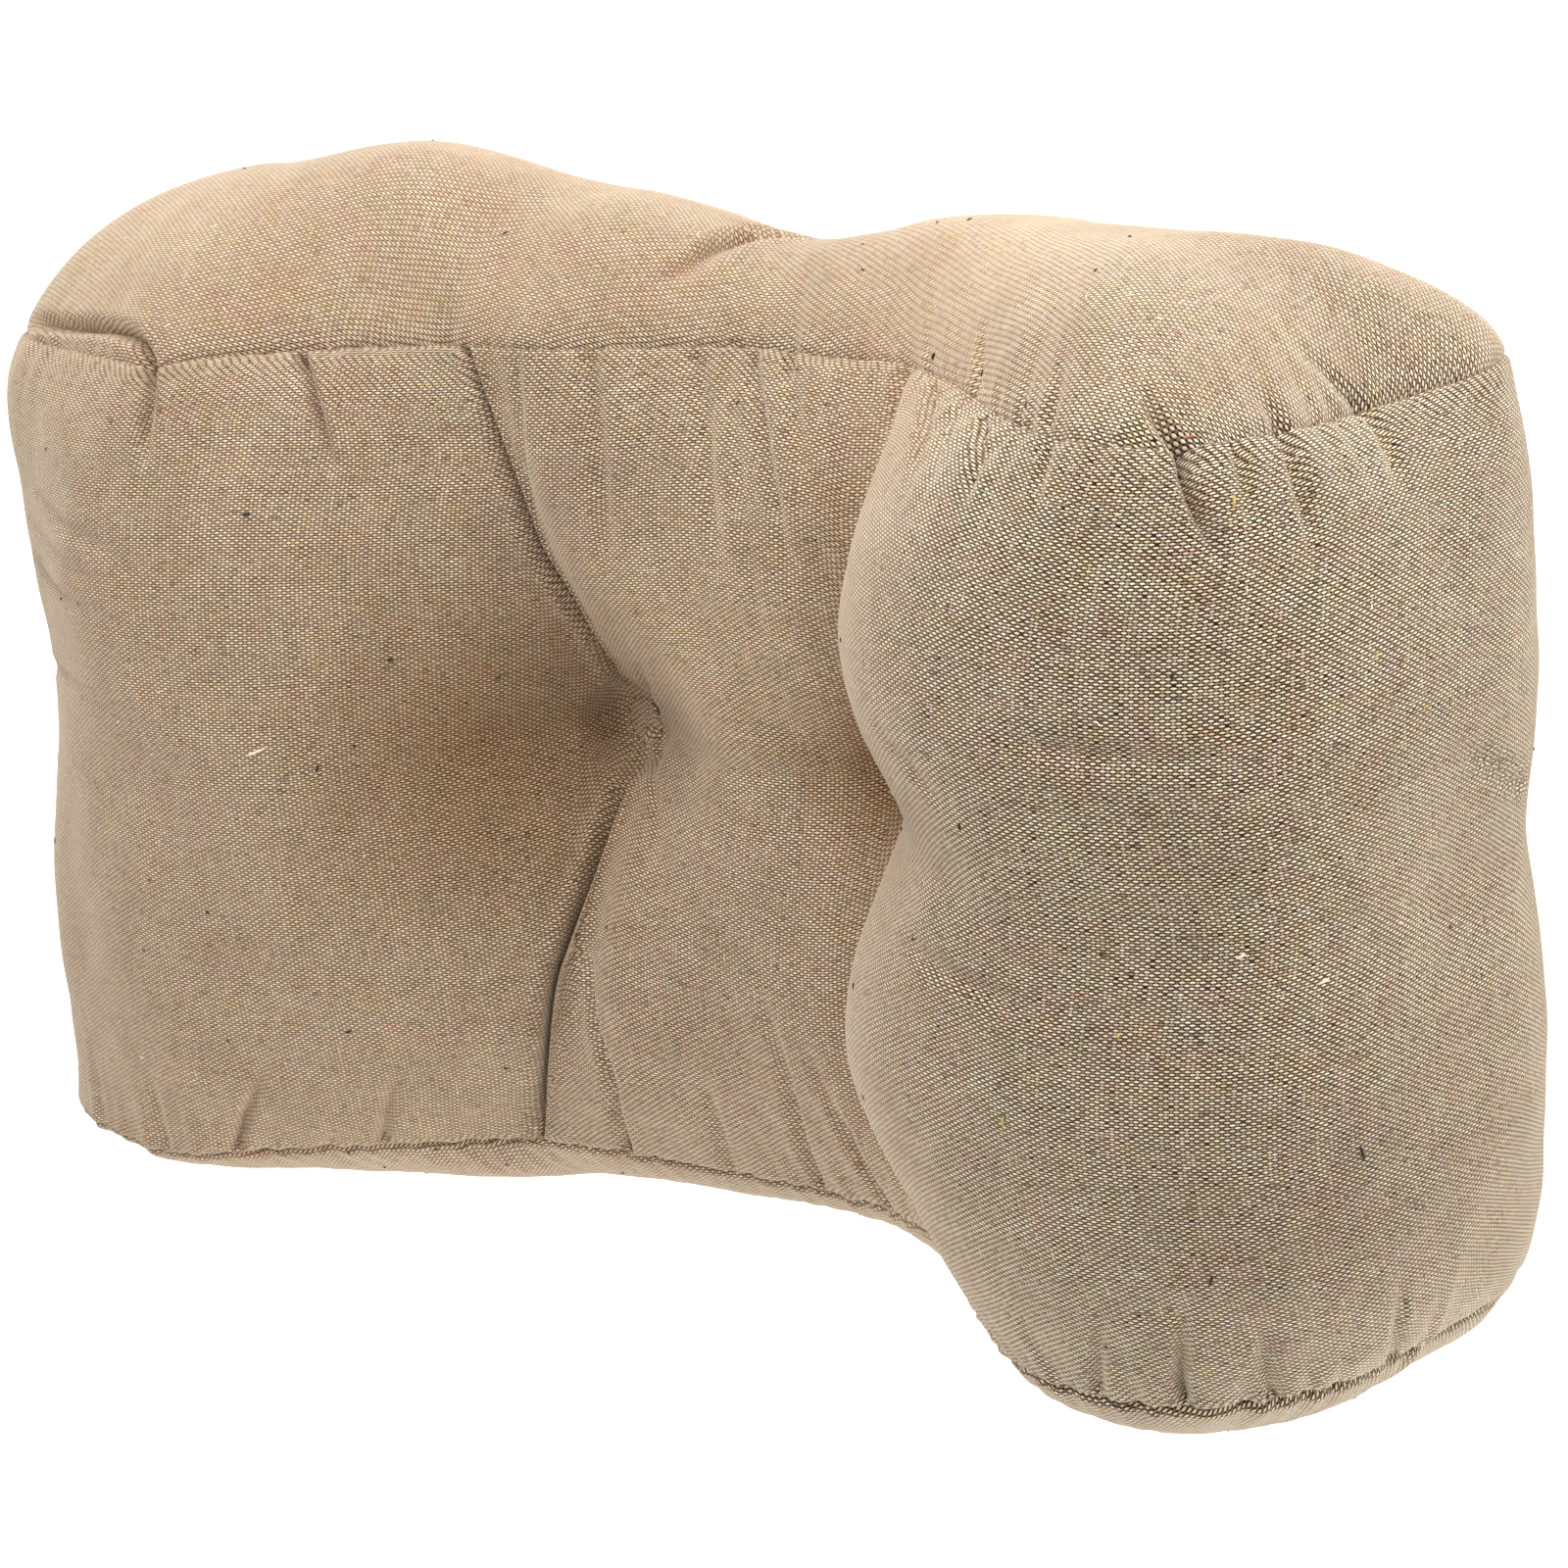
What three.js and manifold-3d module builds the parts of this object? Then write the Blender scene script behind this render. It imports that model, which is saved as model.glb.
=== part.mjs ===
// Lumbar cushion: a stuffed cotton and linen cushion with two round lobes and a hollow between them.
// It lies on its back: X runs across the lobes, Y towards the top end, Z out of the front.
// Everything is in millimetres.

import * as THREE from 'three';
import { mergeVertices } from 'three/addons/utils/BufferGeometryUtils.js';
import Module from 'manifold-3d';

const wasm = await Module();
wasm.setup();

// Driving dimensions
const SEAM_HEIGHT = 232; // from the bottom end seam to the top end seam
const CLOTH = 2; // an end panel with its layer of wadding
const SEAM_GAP = 0.3; // between sewn pieces
const BED_GAP = 0.5; // between an end panel and the filling under it
const TUFT_HEIGHT = 3; // the stitched circles sit this far above mid height
const TUFT_RADIUS = 7.5; // of a stitched circle
const TUFT_SEAT_RADIUS = 9; // flat spot that the stitching pulls down
const TUFT_SEAT_LIFT = 1.6; // of the flat spot above the lowest point of the dimple
const THREAD_RADIUS = 0.6;

// Resolution
const HALF_RING = 50; // steps along the front, and again along the back
const BAND_ROWS = 16;
const CROWN_RINGS = 4;

// The cross sections, as seen from the top end: a row for each station around the cushion, starting
// at the middle of the front and going round by the right lobe. Each pair is [across, out of the
// back], at the top seam, at the bottom seam, where the cushion is fullest, and at mid height, where
// the tufts draw it in.
const STATIONS = [
  { at: 'front middle', top: [6, 60], bottom: [8, 64], full: [0, 84], waist: [0, 66] },
  { at: 'right lip', top: [36, 62], bottom: [38, 65], full: [36, 84], waist: [34, 64] },
  { at: 'right crease', top: [62, 64], bottom: [62, 74], full: [56, 72], waist: [56, 42] },
  { at: 'right wall', top: [80, 72], bottom: [80, 86], full: [58, 88], waist: [70, 76] },
  { at: 'right inner', top: [100, 86], bottom: [102, 103], full: [68, 108], waist: [94, 108] },
  { at: 'right inner shoulder', top: [122, 103], bottom: [124, 117], full: [96, 130], waist: [116, 129] },
  { at: 'right nose', top: [150, 118], bottom: [148, 119], full: [142, 139], waist: [146, 135] },
  { at: 'right outer shoulder', top: [176, 115], bottom: [172, 112], full: [184, 126], waist: [186, 122] },
  { at: 'right front side', top: [189, 92], bottom: [190, 90], full: [205, 100], waist: [203, 98] },
  { at: 'right side', top: [193, 56], bottom: [196, 58], full: [213, 58], waist: [206, 58] },
  { at: 'right rear side', top: [202, 22], bottom: [199, 24], full: [213, 18], waist: [207, 18] },
  { at: 'right rear', top: [184, 5], bottom: [182, 5], full: [184, -3], waist: [180, -3] },
  { at: 'back, right', top: [90, 3], bottom: [90, 3], full: [90, -4], waist: [90, -4] },
  { at: 'back', top: [0, 4], bottom: [0, 4], full: [0, -3], waist: [0, -2] },
  { at: 'back, left', top: [-90, 3], bottom: [-90, 3], full: [-90, -4], waist: [-90, -4] },
  { at: 'left rear', top: [-188, 5], bottom: [-194, 5], full: [-194, -3], waist: [-190, -3] },
  { at: 'left rear side', top: [-212, 20], bottom: [-220, 24], full: [-228, 20], waist: [-222, 20] },
  { at: 'left side', top: [-220, 62], bottom: [-234, 70], full: [-235, 64], waist: [-231, 64] },
  { at: 'left front side', top: [-212, 101], bottom: [-228, 118], full: [-226, 112], waist: [-224, 108] },
  { at: 'left outer shoulder', top: [-184, 117], bottom: [-198, 133], full: [-198, 131], waist: [-200, 128] },
  { at: 'left nose', top: [-145, 124], bottom: [-165, 133], full: [-160, 141], waist: [-160, 138] },
  { at: 'left inner shoulder', top: [-118, 104], bottom: [-140, 116], full: [-120, 128], waist: [-116, 132] },
  { at: 'left inner', top: [-98, 92], bottom: [-112, 97], full: [-88, 108], waist: [-84, 114] },
  { at: 'left wall', top: [-82, 85], bottom: [-94, 84], full: [-66, 92], waist: [-60, 80] },
  { at: 'left crease', top: [-68, 81], bottom: [-82, 77], full: [-53, 80], waist: [-53, 42] },
  { at: 'left lip', top: [-42, 78], bottom: [-46, 70], full: [-38, 92], waist: [-34, 66] },
];

// The crowns of the two ends: along the ridge of each, from left to right, how far the ridge is out
// of the back and how far it rises over the top seam and drops below the bottom seam.
const RIDGE = [
  { across: -160, out: 62, top: 40, bottom: 20 },
  { across: -110, out: 56, top: 48, bottom: 21 },
  { across: -50, out: 38, top: 39, bottom: 18 },
  { across: 10, out: 32, top: 28, bottom: 15 },
  { across: 80, out: 46, top: 34, bottom: 17 },
  { across: 130, out: 60, top: 33, bottom: 20 },
];

const SEAM_ROUNDING = 3.4; // how suddenly the band rounds over at the end seams
const SEAM_FULLNESS = 0.59; // how full it is there
const WAIST_REACH = 0.24; // of half the seam height, drawn in by the tufts
const WAIST_SHARPNESS = 1.7;
const CROWN_ROUNDING = 2.2;
const CROWN_FULLNESS = 0.62;

const left = STATIONS.findIndex((station) => station.at === 'left side');
const right = STATIONS.findIndex((station) => station.at === 'right side');

// One coordinate of a closed Catmull-Rom curve through the stations
function around(column, axis, u) {
  const count = STATIONS.length;
  const whole = Math.floor(u);
  const t = u - whole;
  const value = (step) => STATIONS[(whole + step + 2 * count) % count][column][axis];
  const [a, b, c, d] = [value(-1), value(0), value(1), value(2)];
  const cubic = (3 * b - a - 3 * c + d) * t ** 3;
  const square = (2 * a - 5 * b + 4 * c - d) * t ** 2;
  return 0.5 * (2 * b + (c - a) * t + square + cubic);
}

// A point of the band: u counts stations, v goes from -1 at the bottom seam to 1 at the top seam
function bandPoint(u, v) {
  const full = (1 - Math.abs(v) ** SEAM_ROUNDING) ** SEAM_FULLNESS;
  const waist = full * Math.exp(-((Math.abs(v) / WAIST_REACH) ** WAIST_SHARPNESS));
  const [x, z] = [0, 1].map((axis) => {
    const seam = THREE.MathUtils.lerp(around('bottom', axis, u), around('top', axis, u), (v + 1) / 2);
    const draw = around('waist', axis, u) - around('full', axis, u);
    return seam + (around('full', axis, u) - seam) * full + draw * waist;
  });
  return new THREE.Vector3(x, v * (SEAM_HEIGHT / 2 - SEAM_GAP), Math.max(z, 0));
}

// Station numbers of a ring: along the front from the left side to the right side, then back again
// behind, so that step i of the front faces step 2 * HALF_RING - i of the back
function ringStations() {
  const count = STATIONS.length;
  const halves = [[left - count, right], [right, left]];
  return halves.flatMap(([from, to]) => {
    const fine = Array.from({ length: 401 }, (_, k) => from + ((to - from) * k) / 400);
    const points = fine.map((u) => bandPoint(u, 0.7));
    const run = [0];
    for (let k = 1; k < points.length; k++) {
      run.push(run[k - 1] + points[k].distanceTo(points[k - 1]));
    }
    return Array.from({ length: HALF_RING }, (_, i) => {
      const wanted = (run[400] * i) / HALF_RING;
      const k = run.findIndex((length) => length > wanted);
      return THREE.MathUtils.mapLinear(wanted, run[k - 1], run[k], fine[k - 1], fine[k]);
    });
  });
}

const ring = ringStations();

function ridgeAt(across) {
  const x = THREE.MathUtils.clamp(across, RIDGE[0].across, RIDGE[RIDGE.length - 1].across);
  const k = Math.max(1, RIDGE.findIndex((row) => row.across >= x));
  const [a, b] = [RIDGE[k - 1], RIDGE[k]];
  const t = THREE.MathUtils.smoothstep(x, a.across, b.across);
  const mix = (name) => THREE.MathUtils.lerp(a[name], b[name], t);
  return { across: x, out: mix('out'), top: mix('top'), bottom: mix('bottom') };
}

// A point of an end's crown: r is 1 at the seam and 0 on the ridge, and inset moves the whole
// surface inwards
function crownPoint(i, r, end, inset) {
  const side = end === 'top' ? 1 : -1;
  const edge = [0, 1].map((axis) => around(end, axis, ring[i]));
  const facing = [0, 1].map((axis) => around(end, axis, ring[(2 * HALF_RING - i) % (2 * HALF_RING)]));
  const ridge = ridgeAt((edge[0] + facing[0]) / 2);
  const reach = new THREE.Vector2(edge[0] - ridge.across, edge[1] - ridge.out);
  reach.multiplyScalar(r * (1 - inset / reach.length()));
  const rise = (ridge[end] - inset) * (1 - r ** CROWN_ROUNDING) ** CROWN_FULLNESS;
  return new THREE.Vector3(ridge.across + reach.x, side * (SEAM_HEIGHT / 2 + rise), ridge.out + reach.y);
}

// Ring radii from the ridge out to the seam, closer together where the crown is steep
function crownRadii() {
  return Array.from({ length: CROWN_RINGS + 1 }, (_, k) => Math.sin((k / CROWN_RINGS) * (Math.PI / 2)));
}

// A closed solid from rings of points, listed from one end to the other. The first and last rings
// lie folded together on a ridge, so their front and back points meet. Each four-sided patch is
// split along its shorter diagonal, so that sheets lying on each other fold the same way.
function solidFromRings(rings) {
  const count = rings[0].length;
  const points = rings.flat();
  const positions = points.flatMap((point) => [point.x, point.y, point.z]);
  const index = [];
  for (let row = 0; row + 1 < rings.length; row++) {
    for (let i = 0; i < count; i++) {
      const [a, b] = [row * count + i, row * count + ((i + 1) % count)];
      const [c, d] = [b + count, a + count];
      if (points[a].distanceTo(points[c]) < points[b].distanceTo(points[d])) {
        index.push(a, b, c, a, c, d);
      } else {
        index.push(a, b, d, b, c, d);
      }
    }
  }
  const geometry = new THREE.BufferGeometry();
  geometry.setAttribute('position', new THREE.Float32BufferAttribute(positions, 3));
  geometry.setIndex(index);
  return withoutSlivers(mergeVertices(geometry, 1e-3));
}

// Drops the triangles that closed up when their points were merged
function withoutSlivers(geometry) {
  const old = geometry.index.array;
  const kept = [];
  for (let k = 0; k < old.length; k += 3) {
    const [a, b, c] = [old[k], old[k + 1], old[k + 2]];
    if (a !== b && b !== c && c !== a) {
      kept.push(a, b, c);
    }
  }
  geometry.setIndex(kept);
  return geometry;
}

function crownRings(end, inset) {
  const steps = Array.from(ring, (_, i) => i);
  return crownRadii().map((r) => steps.map((i) => crownPoint(i, r, end, inset)));
}

// The filled body: the band sewn round front, sides and back, and the filling's own crowns under
// the end panels
function bodyGeometry() {
  const band = Array.from({ length: BAND_ROWS + 1 }, (_, k) => {
    const even = (2 * k) / BAND_ROWS - 1;
    const v = 0.45 * even + 0.55 * Math.sin((even * Math.PI) / 2);
    return ring.map((u) => bandPoint(u, v));
  });
  const bed = CLOTH + BED_GAP;
  const bottom = crownRings('bottom', bed);
  const top = crownRings('top', bed).reverse();
  for (const rings of [bottom, top]) {
    for (const point of rings.flat()) {
      point.y -= Math.sign(point.y) * SEAM_GAP;
    }
  }
  return solidFromRings([...bottom, ...band, ...top]);
}

// An end panel: a thin crowned sheet, from its inner face round the seam edge to its outer face
function endPanelGeometry(end) {
  const inner = crownRings(end, CLOTH);
  const outer = crownRings(end, 0).reverse();
  const rings = [...inner, ...outer];
  return solidFromRings(end === 'top' ? rings : rings.reverse());
}

function manifoldFrom(geometry) {
  geometry.deleteAttribute('normal');
  geometry.deleteAttribute('uv');
  const merged = mergeVertices(geometry, 1e-4);
  const mesh = new wasm.Mesh({
    numProp: 3,
    vertProperties: new Float32Array(merged.attributes.position.array),
    triVerts: new Uint32Array(merged.index.array),
  });
  return new wasm.Manifold(mesh);
}

function geometryFrom(solid) {
  const mesh = solid.getMesh();
  const geometry = new THREE.BufferGeometry();
  geometry.setAttribute('position', new THREE.Float32BufferAttribute(mesh.vertProperties, 3));
  geometry.setIndex(Array.from(mesh.triVerts));
  return geometry;
}

// The two tufts, on the creases at mid height
const tufts = ['left crease', 'right crease'].map((name) => {
  const station = STATIONS.findIndex((row) => row.at === name);
  const [across, out] = STATIONS[station].waist;
  return { name: name.split(' ')[0], across, seat: out + TUFT_SEAT_LIFT };
});

function tuftSeat(tuft) {
  const height = 60;
  const drum = new THREE.CylinderGeometry(TUFT_SEAT_RADIUS, TUFT_SEAT_RADIUS, height, 20);
  drum.rotateX(Math.PI / 2);
  drum.translate(tuft.across, TUFT_HEIGHT, tuft.seat + height / 2);
  return drum;
}

function stitchRing(tuft) {
  const geometry = new THREE.TorusGeometry(TUFT_RADIUS, THREAD_RADIUS, 6, 20);
  geometry.translate(tuft.across, TUFT_HEIGHT, tuft.seat + SEAM_GAP + THREAD_RADIUS);
  return mergeVertices(geometry, 1e-3);
}

const clothMaterial = () => new THREE.MeshStandardMaterial({ color: 0xb09a7e, roughness: 0.95, metalness: 0 });
const threadMaterial = () => new THREE.MeshStandardMaterial({ color: 0x8d7a60, roughness: 0.9, metalness: 0 });

function named(name, geometry, material) {
  const mesh = new THREE.Mesh(geometry, material);
  mesh.name = name;
  return mesh;
}

const seats = tufts.map((tuft) => manifoldFrom(tuftSeat(tuft)));
const body = seats.reduce((solid, seat) => solid.subtract(seat), manifoldFrom(bodyGeometry()));

const cushion = new THREE.Group();
cushion.add(named('body', geometryFrom(body), clothMaterial()));
cushion.add(named('top_end_panel', endPanelGeometry('top'), clothMaterial()));
cushion.add(named('bottom_end_panel', endPanelGeometry('bottom'), clothMaterial()));
for (const tuft of tufts) {
  cushion.add(named(`tuft_stitching_${tuft.name}`, stitchRing(tuft), threadMaterial()));
}

// The origin is under the middle of the cushion
const box = new THREE.Box3().setFromObject(cushion);
const middle = box.getCenter(new THREE.Vector3());
cushion.position.set(-middle.x, -middle.y, -box.min.z);

const group = new THREE.Group();
group.add(cushion);

export default group;
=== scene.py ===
"""Stuffed lumbar cushion of coarse cotton and linen cloth, lying on its back on a pale floor."""
from math import cos, pi, radians, sin, sqrt

import bpy
import numpy as np
from mathutils import Matrix, Vector


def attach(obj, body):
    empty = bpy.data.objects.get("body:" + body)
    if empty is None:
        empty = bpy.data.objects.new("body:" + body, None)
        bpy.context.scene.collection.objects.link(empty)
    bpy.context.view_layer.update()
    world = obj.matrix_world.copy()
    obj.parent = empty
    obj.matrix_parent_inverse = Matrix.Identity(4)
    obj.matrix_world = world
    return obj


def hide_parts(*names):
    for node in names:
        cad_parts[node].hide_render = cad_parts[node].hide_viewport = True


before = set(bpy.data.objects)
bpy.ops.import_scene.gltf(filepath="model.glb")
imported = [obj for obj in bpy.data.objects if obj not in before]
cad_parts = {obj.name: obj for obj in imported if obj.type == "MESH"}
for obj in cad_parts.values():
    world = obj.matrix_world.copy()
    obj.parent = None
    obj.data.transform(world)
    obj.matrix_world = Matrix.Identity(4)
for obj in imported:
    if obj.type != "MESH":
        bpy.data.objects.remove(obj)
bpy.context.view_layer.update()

# Camera
# The photo shows the cushion upright, seen from the front's upper right. Here it lies on its back,
# so the upright x, y (away from the front) and z become x, -z and y.
CAMERA_AZIMUTH = radians(41.09)
CAMERA_ELEVATION = radians(17.972)
CAMERA_ROLL = radians(-5.148)
CAMERA_PLACE = Vector((0.6157, 0.2797, 0.7424))
LENS_MM = 83.25
SENSOR_MM = 36.0


def lying(x, y, z):
    return Vector((x, z, -y))


def make_camera():
    az, el = CAMERA_AZIMUTH, CAMERA_ELEVATION
    look = lying(-sin(az) * cos(el), cos(az) * cos(el), -sin(el))
    level = lying(cos(az), sin(az), 0)
    rise = level.cross(look)
    c, s = cos(CAMERA_ROLL), sin(CAMERA_ROLL)
    right = c * level + s * rise
    up = c * rise - s * level
    data = bpy.data.cameras.new("photo_camera")
    data.lens = LENS_MM
    data.sensor_width = SENSOR_MM
    data.clip_start = 0.05
    data.clip_end = 20
    cam = bpy.data.objects.new("photo_camera", data)
    bpy.context.collection.objects.link(cam)
    turned = Matrix((right, up, -look)).transposed().to_4x4()
    cam.matrix_world = Matrix.Translation(CAMERA_PLACE) @ turned
    bpy.context.scene.camera = cam


make_camera()

# Shape of the cushion
# In mm, X across, Y towards the top end panel and Z out of the front. A station is a place round the
# band: where it meets each end seam, where it stands between a seam and mid height, and where it
# stands at mid height, each as X and Z.
MM = 0.001
TINY = 1e-9
SEAM_HEIGHT = 232.0
ROW_SHIFT = np.array([10.2, -13.5, 0.0])
SEAM_ROUNDING = 3.4
SIDE_FULLNESS, FRONT_FULLNESS = 0.59, {1: 0.84, -1: 1.15}
# The waist at mid height: place round the cushion, how far it reaches, how blunt it is and where its
# middle is. Reach and middle are shares of the half height.
WAISTS = (
    ("left side", 0.24, 1.7, 0.02),
    ("left inner", 0.30, 1.5, 0.04),
    ("left wall", 0.32, 1.4, 0.05),
    ("left lip", 0.40, 1.35, 0.05),
    ("front middle", 0.40, 1.5, 0.04),
    ("right lip", 0.30, 1.6, 0.04),
    ("right crease", 0.24, 1.7, 0.05),
    ("right wall", 0.24, 1.7, 0.11),
    ("right inner shoulder", 0.24, 1.7, 0.11),
    ("right nose", 0.24, 1.7, 0.05),
    ("right side", 0.24, 1.7, 0.0),
)
WAIST_PLACES, *WAIST_FORM = zip(*WAISTS)
CROWN_ROUNDING = 2.2
SIDE_CROWN, FRONT_CROWN = 0.62, 0.88

STATIONS = (
    # place, top seam, bottom seam, full, waist
    ("front middle", (6, 60), (8, 64), (0, 84), (0, 69)),
    ("right lip", (36, 62), (38, 65), (36, 84), (34, 64)),
    ("right crease", (62, 64), (62, 74), (56, 72), (56, 42)),
    ("right wall", (80, 72), (80, 86), (58, 88), (67, 77)),
    ("right inner", (100, 86), (102, 103), (68, 108), (90, 108)),
    ("right inner shoulder", (122, 103), (124, 117), (96, 130), (116, 129)),
    ("right nose", (150, 118), (148, 119), (142, 139), (146, 135)),
    ("right outer shoulder", (176, 115), (172, 112), (184, 126), (186, 122)),
    ("right front side", (189, 92), (190, 90), (205, 100), (203, 98)),
    ("right side", (193, 56), (196, 58), (213, 58), (206, 58)),
    ("right rear side", (202, 22), (199, 24), (209, 18), (204, 18)),
    ("right rear", (184, 5), (182, 5), (184, -3), (180, -3)),
    ("back, right", (90, 3), (90, 3), (90, -4), (90, -4)),
    ("back", (0, 4), (0, 4), (0, -3), (0, -2)),
    ("back, left", (-90, 3), (-90, 3), (-90, -4), (-90, -4)),
    ("left rear", (-188, 5), (-194, 5), (-194, -3), (-190, -3)),
    ("left rear side", (-212, 20), (-220, 24), (-228, 20), (-222, 20)),
    ("left side", (-220, 62), (-234, 70), (-235, 64), (-231, 64)),
    ("left front side", (-212, 101), (-228, 118), (-226, 112), (-224, 108)),
    ("left outer shoulder", (-184, 117), (-198, 133), (-198, 131), (-200, 128)),
    ("left nose", (-145, 124), (-165, 133), (-160, 141), (-160, 138)),
    ("left inner shoulder", (-118, 104), (-140, 116), (-120, 128), (-116, 132)),
    ("left inner", (-98, 92), (-112, 97), (-88, 108), (-92, 104)),
    ("left wall", (-82, 85), (-94, 84), (-66, 92), (-73, 76)),
    ("left crease", (-68, 81), (-82, 77), (-53, 80), (-56, 48)),
    ("left lip", (-42, 78), (-46, 70), (-38, 90), (-36, 51)),
)
PLACE = {row[0]: k for k, row in enumerate(STATIONS)}
TOP_SEAM, BOTTOM_SEAM, FULL, WAIST = (np.array(c, float) for c in list(zip(*STATIONS))[1:])

# Ridge of the crowned end panels: place across, distance out of the back, and how far the top and
# the bottom panel stand out from their seams.
RIDGE = np.array(
    [(-160, 62, 41, 20), (-110, 56, 48, 21), (-50, 38, 34, 18)]
    + [(10, 32, 22, 15), (80, 46, 33, 21), (130, 60, 33, 27)]
)

# Places where the filling swells out or thins between the seams: place, reach each way and push.
SWELLS = (
    ((-217, 66, 118), (40, 45, 40), (3, 0, -2.5)),
    ((-217, -72, 118), (40, 45, 40), (-4, 0, 3.5)),
    ((-222, 28, 100), (40, 24, 40), (3, 0, -2)),
    ((80, -50, 105), (38, 30, 40), (-5, 0, 1.5)),
)


def smoothstep(low, high, x):
    t = np.clip((x - low) / (high - low), 0, 1)
    return t * t * (3 - 2 * t)


def steps_along(p, axis=0):
    return np.linalg.norm(np.diff(p, axis=axis), axis=-1)


def between_rows(x, at, rows):
    """Rows of numbers that are given at some places, at the places x."""
    return np.stack([np.interp(x, at, column) for column in rows.T], -1)


def through_four(a, b, c, d, t):
    """The smooth curve through four points, at share t of the way from the second to the third."""
    square = 2 * a - 5 * b + 4 * c - d
    cube = 3 * b - a - 3 * c + d
    return 0.5 * (2 * b + (c - a) * t + square * t**2 + cube * t**3)


def around(column, u):
    """A closed, smooth curve through a column of the stations, at station number u."""
    n = len(column)
    u = np.asarray(u, float) % n
    i = np.floor(u).astype(int)
    t = (u - i)[..., None]
    return through_four(column[i - 1], column[i % n], column[(i + 1) % n], column[(i + 2) % n], t)


def seam_point(u, v):
    share = np.asarray(0.5 + 0.5 * v)[..., None]
    return around(BOTTOM_SEAM, u) * (1 - share) + around(TOP_SEAM, u) * share


def round_the_form(u, places, values):
    """Values given at some stations, at station number u."""
    n = len(STATIONS)
    at = np.array([PLACE[place] for place in places])
    order = np.argsort(at)
    return np.interp(np.asarray(u, float) % n, at[order], np.array(values, float)[order], period=n)


def facing_front(u):
    """1 where the cloth faces the front, 0 at the sides and the back."""
    n = len(STATIONS)
    away = np.abs((np.asarray(u, float) + n / 2) % n - n / 2)
    return 1 - smoothstep(PLACE["right outer shoulder"], PLACE["right side"], away)


def band_point(u, v):
    """The band at station number u and at v of its half height, from -1 at the bottom seam to 1."""
    front = np.where(v > 0, FRONT_FULLNESS[1], FRONT_FULLNESS[-1])
    fullness = SIDE_FULLNESS + (front - SIDE_FULLNESS) * facing_front(u)
    full = ((1 - np.abs(v) ** SEAM_ROUNDING) ** fullness)[..., None]
    reach, blunt, centre = (round_the_form(u, WAIST_PLACES, values) for values in WAIST_FORM)
    waist = full * np.exp(-((np.abs(v - centre) / reach) ** blunt))[..., None]
    seam, wide = seam_point(u, v), around(FULL, u)
    q = seam + (wide - seam) * full + (around(WAIST, u) - wide) * waist
    p = np.stack([q[..., 0], v * SEAM_HEIGHT / 2, q[..., 1]], -1)
    for place, reach, push in SWELLS:
        p = p + np.exp(-(((p - place) / reach) ** 2).sum(-1))[..., None] * full * push
    return p


def ridge_at(across):
    x = np.clip(across, RIDGE[0, 0], RIDGE[-1, 0])
    k = np.clip(np.searchsorted(RIDGE[:, 0], x) - 1, 0, len(RIDGE) - 2)
    t = smoothstep(0, 1, (x - RIDGE[k, 0]) / (RIDGE[k + 1, 0] - RIDGE[k, 0]))
    return x, *(RIDGE[k, c] + (RIDGE[k + 1, c] - RIDGE[k, c]) * t for c in (1, 2, 3))


# Columns and rows of the cloth
# Columns run round the cushion from the middle of the back, close together where the cloth folds.
# Front and back ones face each other in pairs, so that the end panels close along their ridge.
FRONT_STEPS = 440
BACK_STEP = 4
# Where columns stand closer: station, how far beyond it, how much closer and over how many stations.
CLOSE_COLUMNS = (
    ("left crease", 0.0, 1.4, 0.55),
    ("left nose", 0.0, 0.8, 0.30),
    ("left inner shoulder", 0.55, 0.8, 0.30),
    ("right outer shoulder", 0.0, 0.8, 0.35),
)
LEFT_STATIONS = {place for place in PLACE if place.startswith("left")}
# The share of the half height at which the columns' spacing is measured, and its steps.
SPACING_HEIGHT, SPACING_STEPS = 0.7, 4001
CROWN_ROWS = 48
EDGE_ROWS_MM = (0, 0.35, 0.8, 1.3, 1.9, 2.6, 3.5, 4.6, 5.9)
MIDDLE_ROWS = 142


def equal_steps(u_from, u_to, weight=None):
    """Station numbers against the share of the way between two stations, measured along the cloth."""
    u = np.linspace(u_from, u_to, SPACING_STEPS)
    line = band_point(u, np.full(SPACING_STEPS, SPACING_HEIGHT))
    way = steps_along(line)
    if weight is not None:
        way = way * weight((u[1:] + u[:-1]) / 2)
    share = np.concatenate([[0], np.cumsum(way)])
    return u, share / share[-1]


def column_need(u):
    """How much closer than elsewhere the columns stand at station number u."""
    need = np.ones_like(u)
    for place, beyond, amount, reach in CLOSE_COLUMNS:
        at = PLACE[place] + beyond
        at -= len(STATIONS) * (place in LEFT_STATIONS)
        need += amount * np.exp(-(((u - at) / reach) ** 2))
    return need


LEFT, RIGHT = PLACE["left side"] - len(STATIONS), PLACE["right side"]
u_fine, need_share = equal_steps(LEFT, RIGHT, column_need)
_, even_share = equal_steps(LEFT, RIGHT)
front_share = np.interp(np.arange(FRONT_STEPS + 1) / FRONT_STEPS, need_share, even_share)
front_u = np.interp(front_share, even_share, u_fine)
back_fine, back_share = equal_steps(PLACE["left side"], PLACE["right side"])
back_pair = np.arange(FRONT_STEPS - BACK_STEP, 0, -BACK_STEP)
back_u = np.interp(front_share[back_pair], back_share, back_fine)

column_u = np.concatenate([front_u, back_u])
column_pair = np.concatenate([np.arange(FRONT_STEPS + 1), back_pair])
turn = FRONT_STEPS + 1 + int(np.argmin(np.abs(back_u - PLACE["back"])))
column_u = np.roll(column_u, -turn)
column_pair = np.roll(column_pair, -turn)
COLUMNS = len(column_u)

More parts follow.
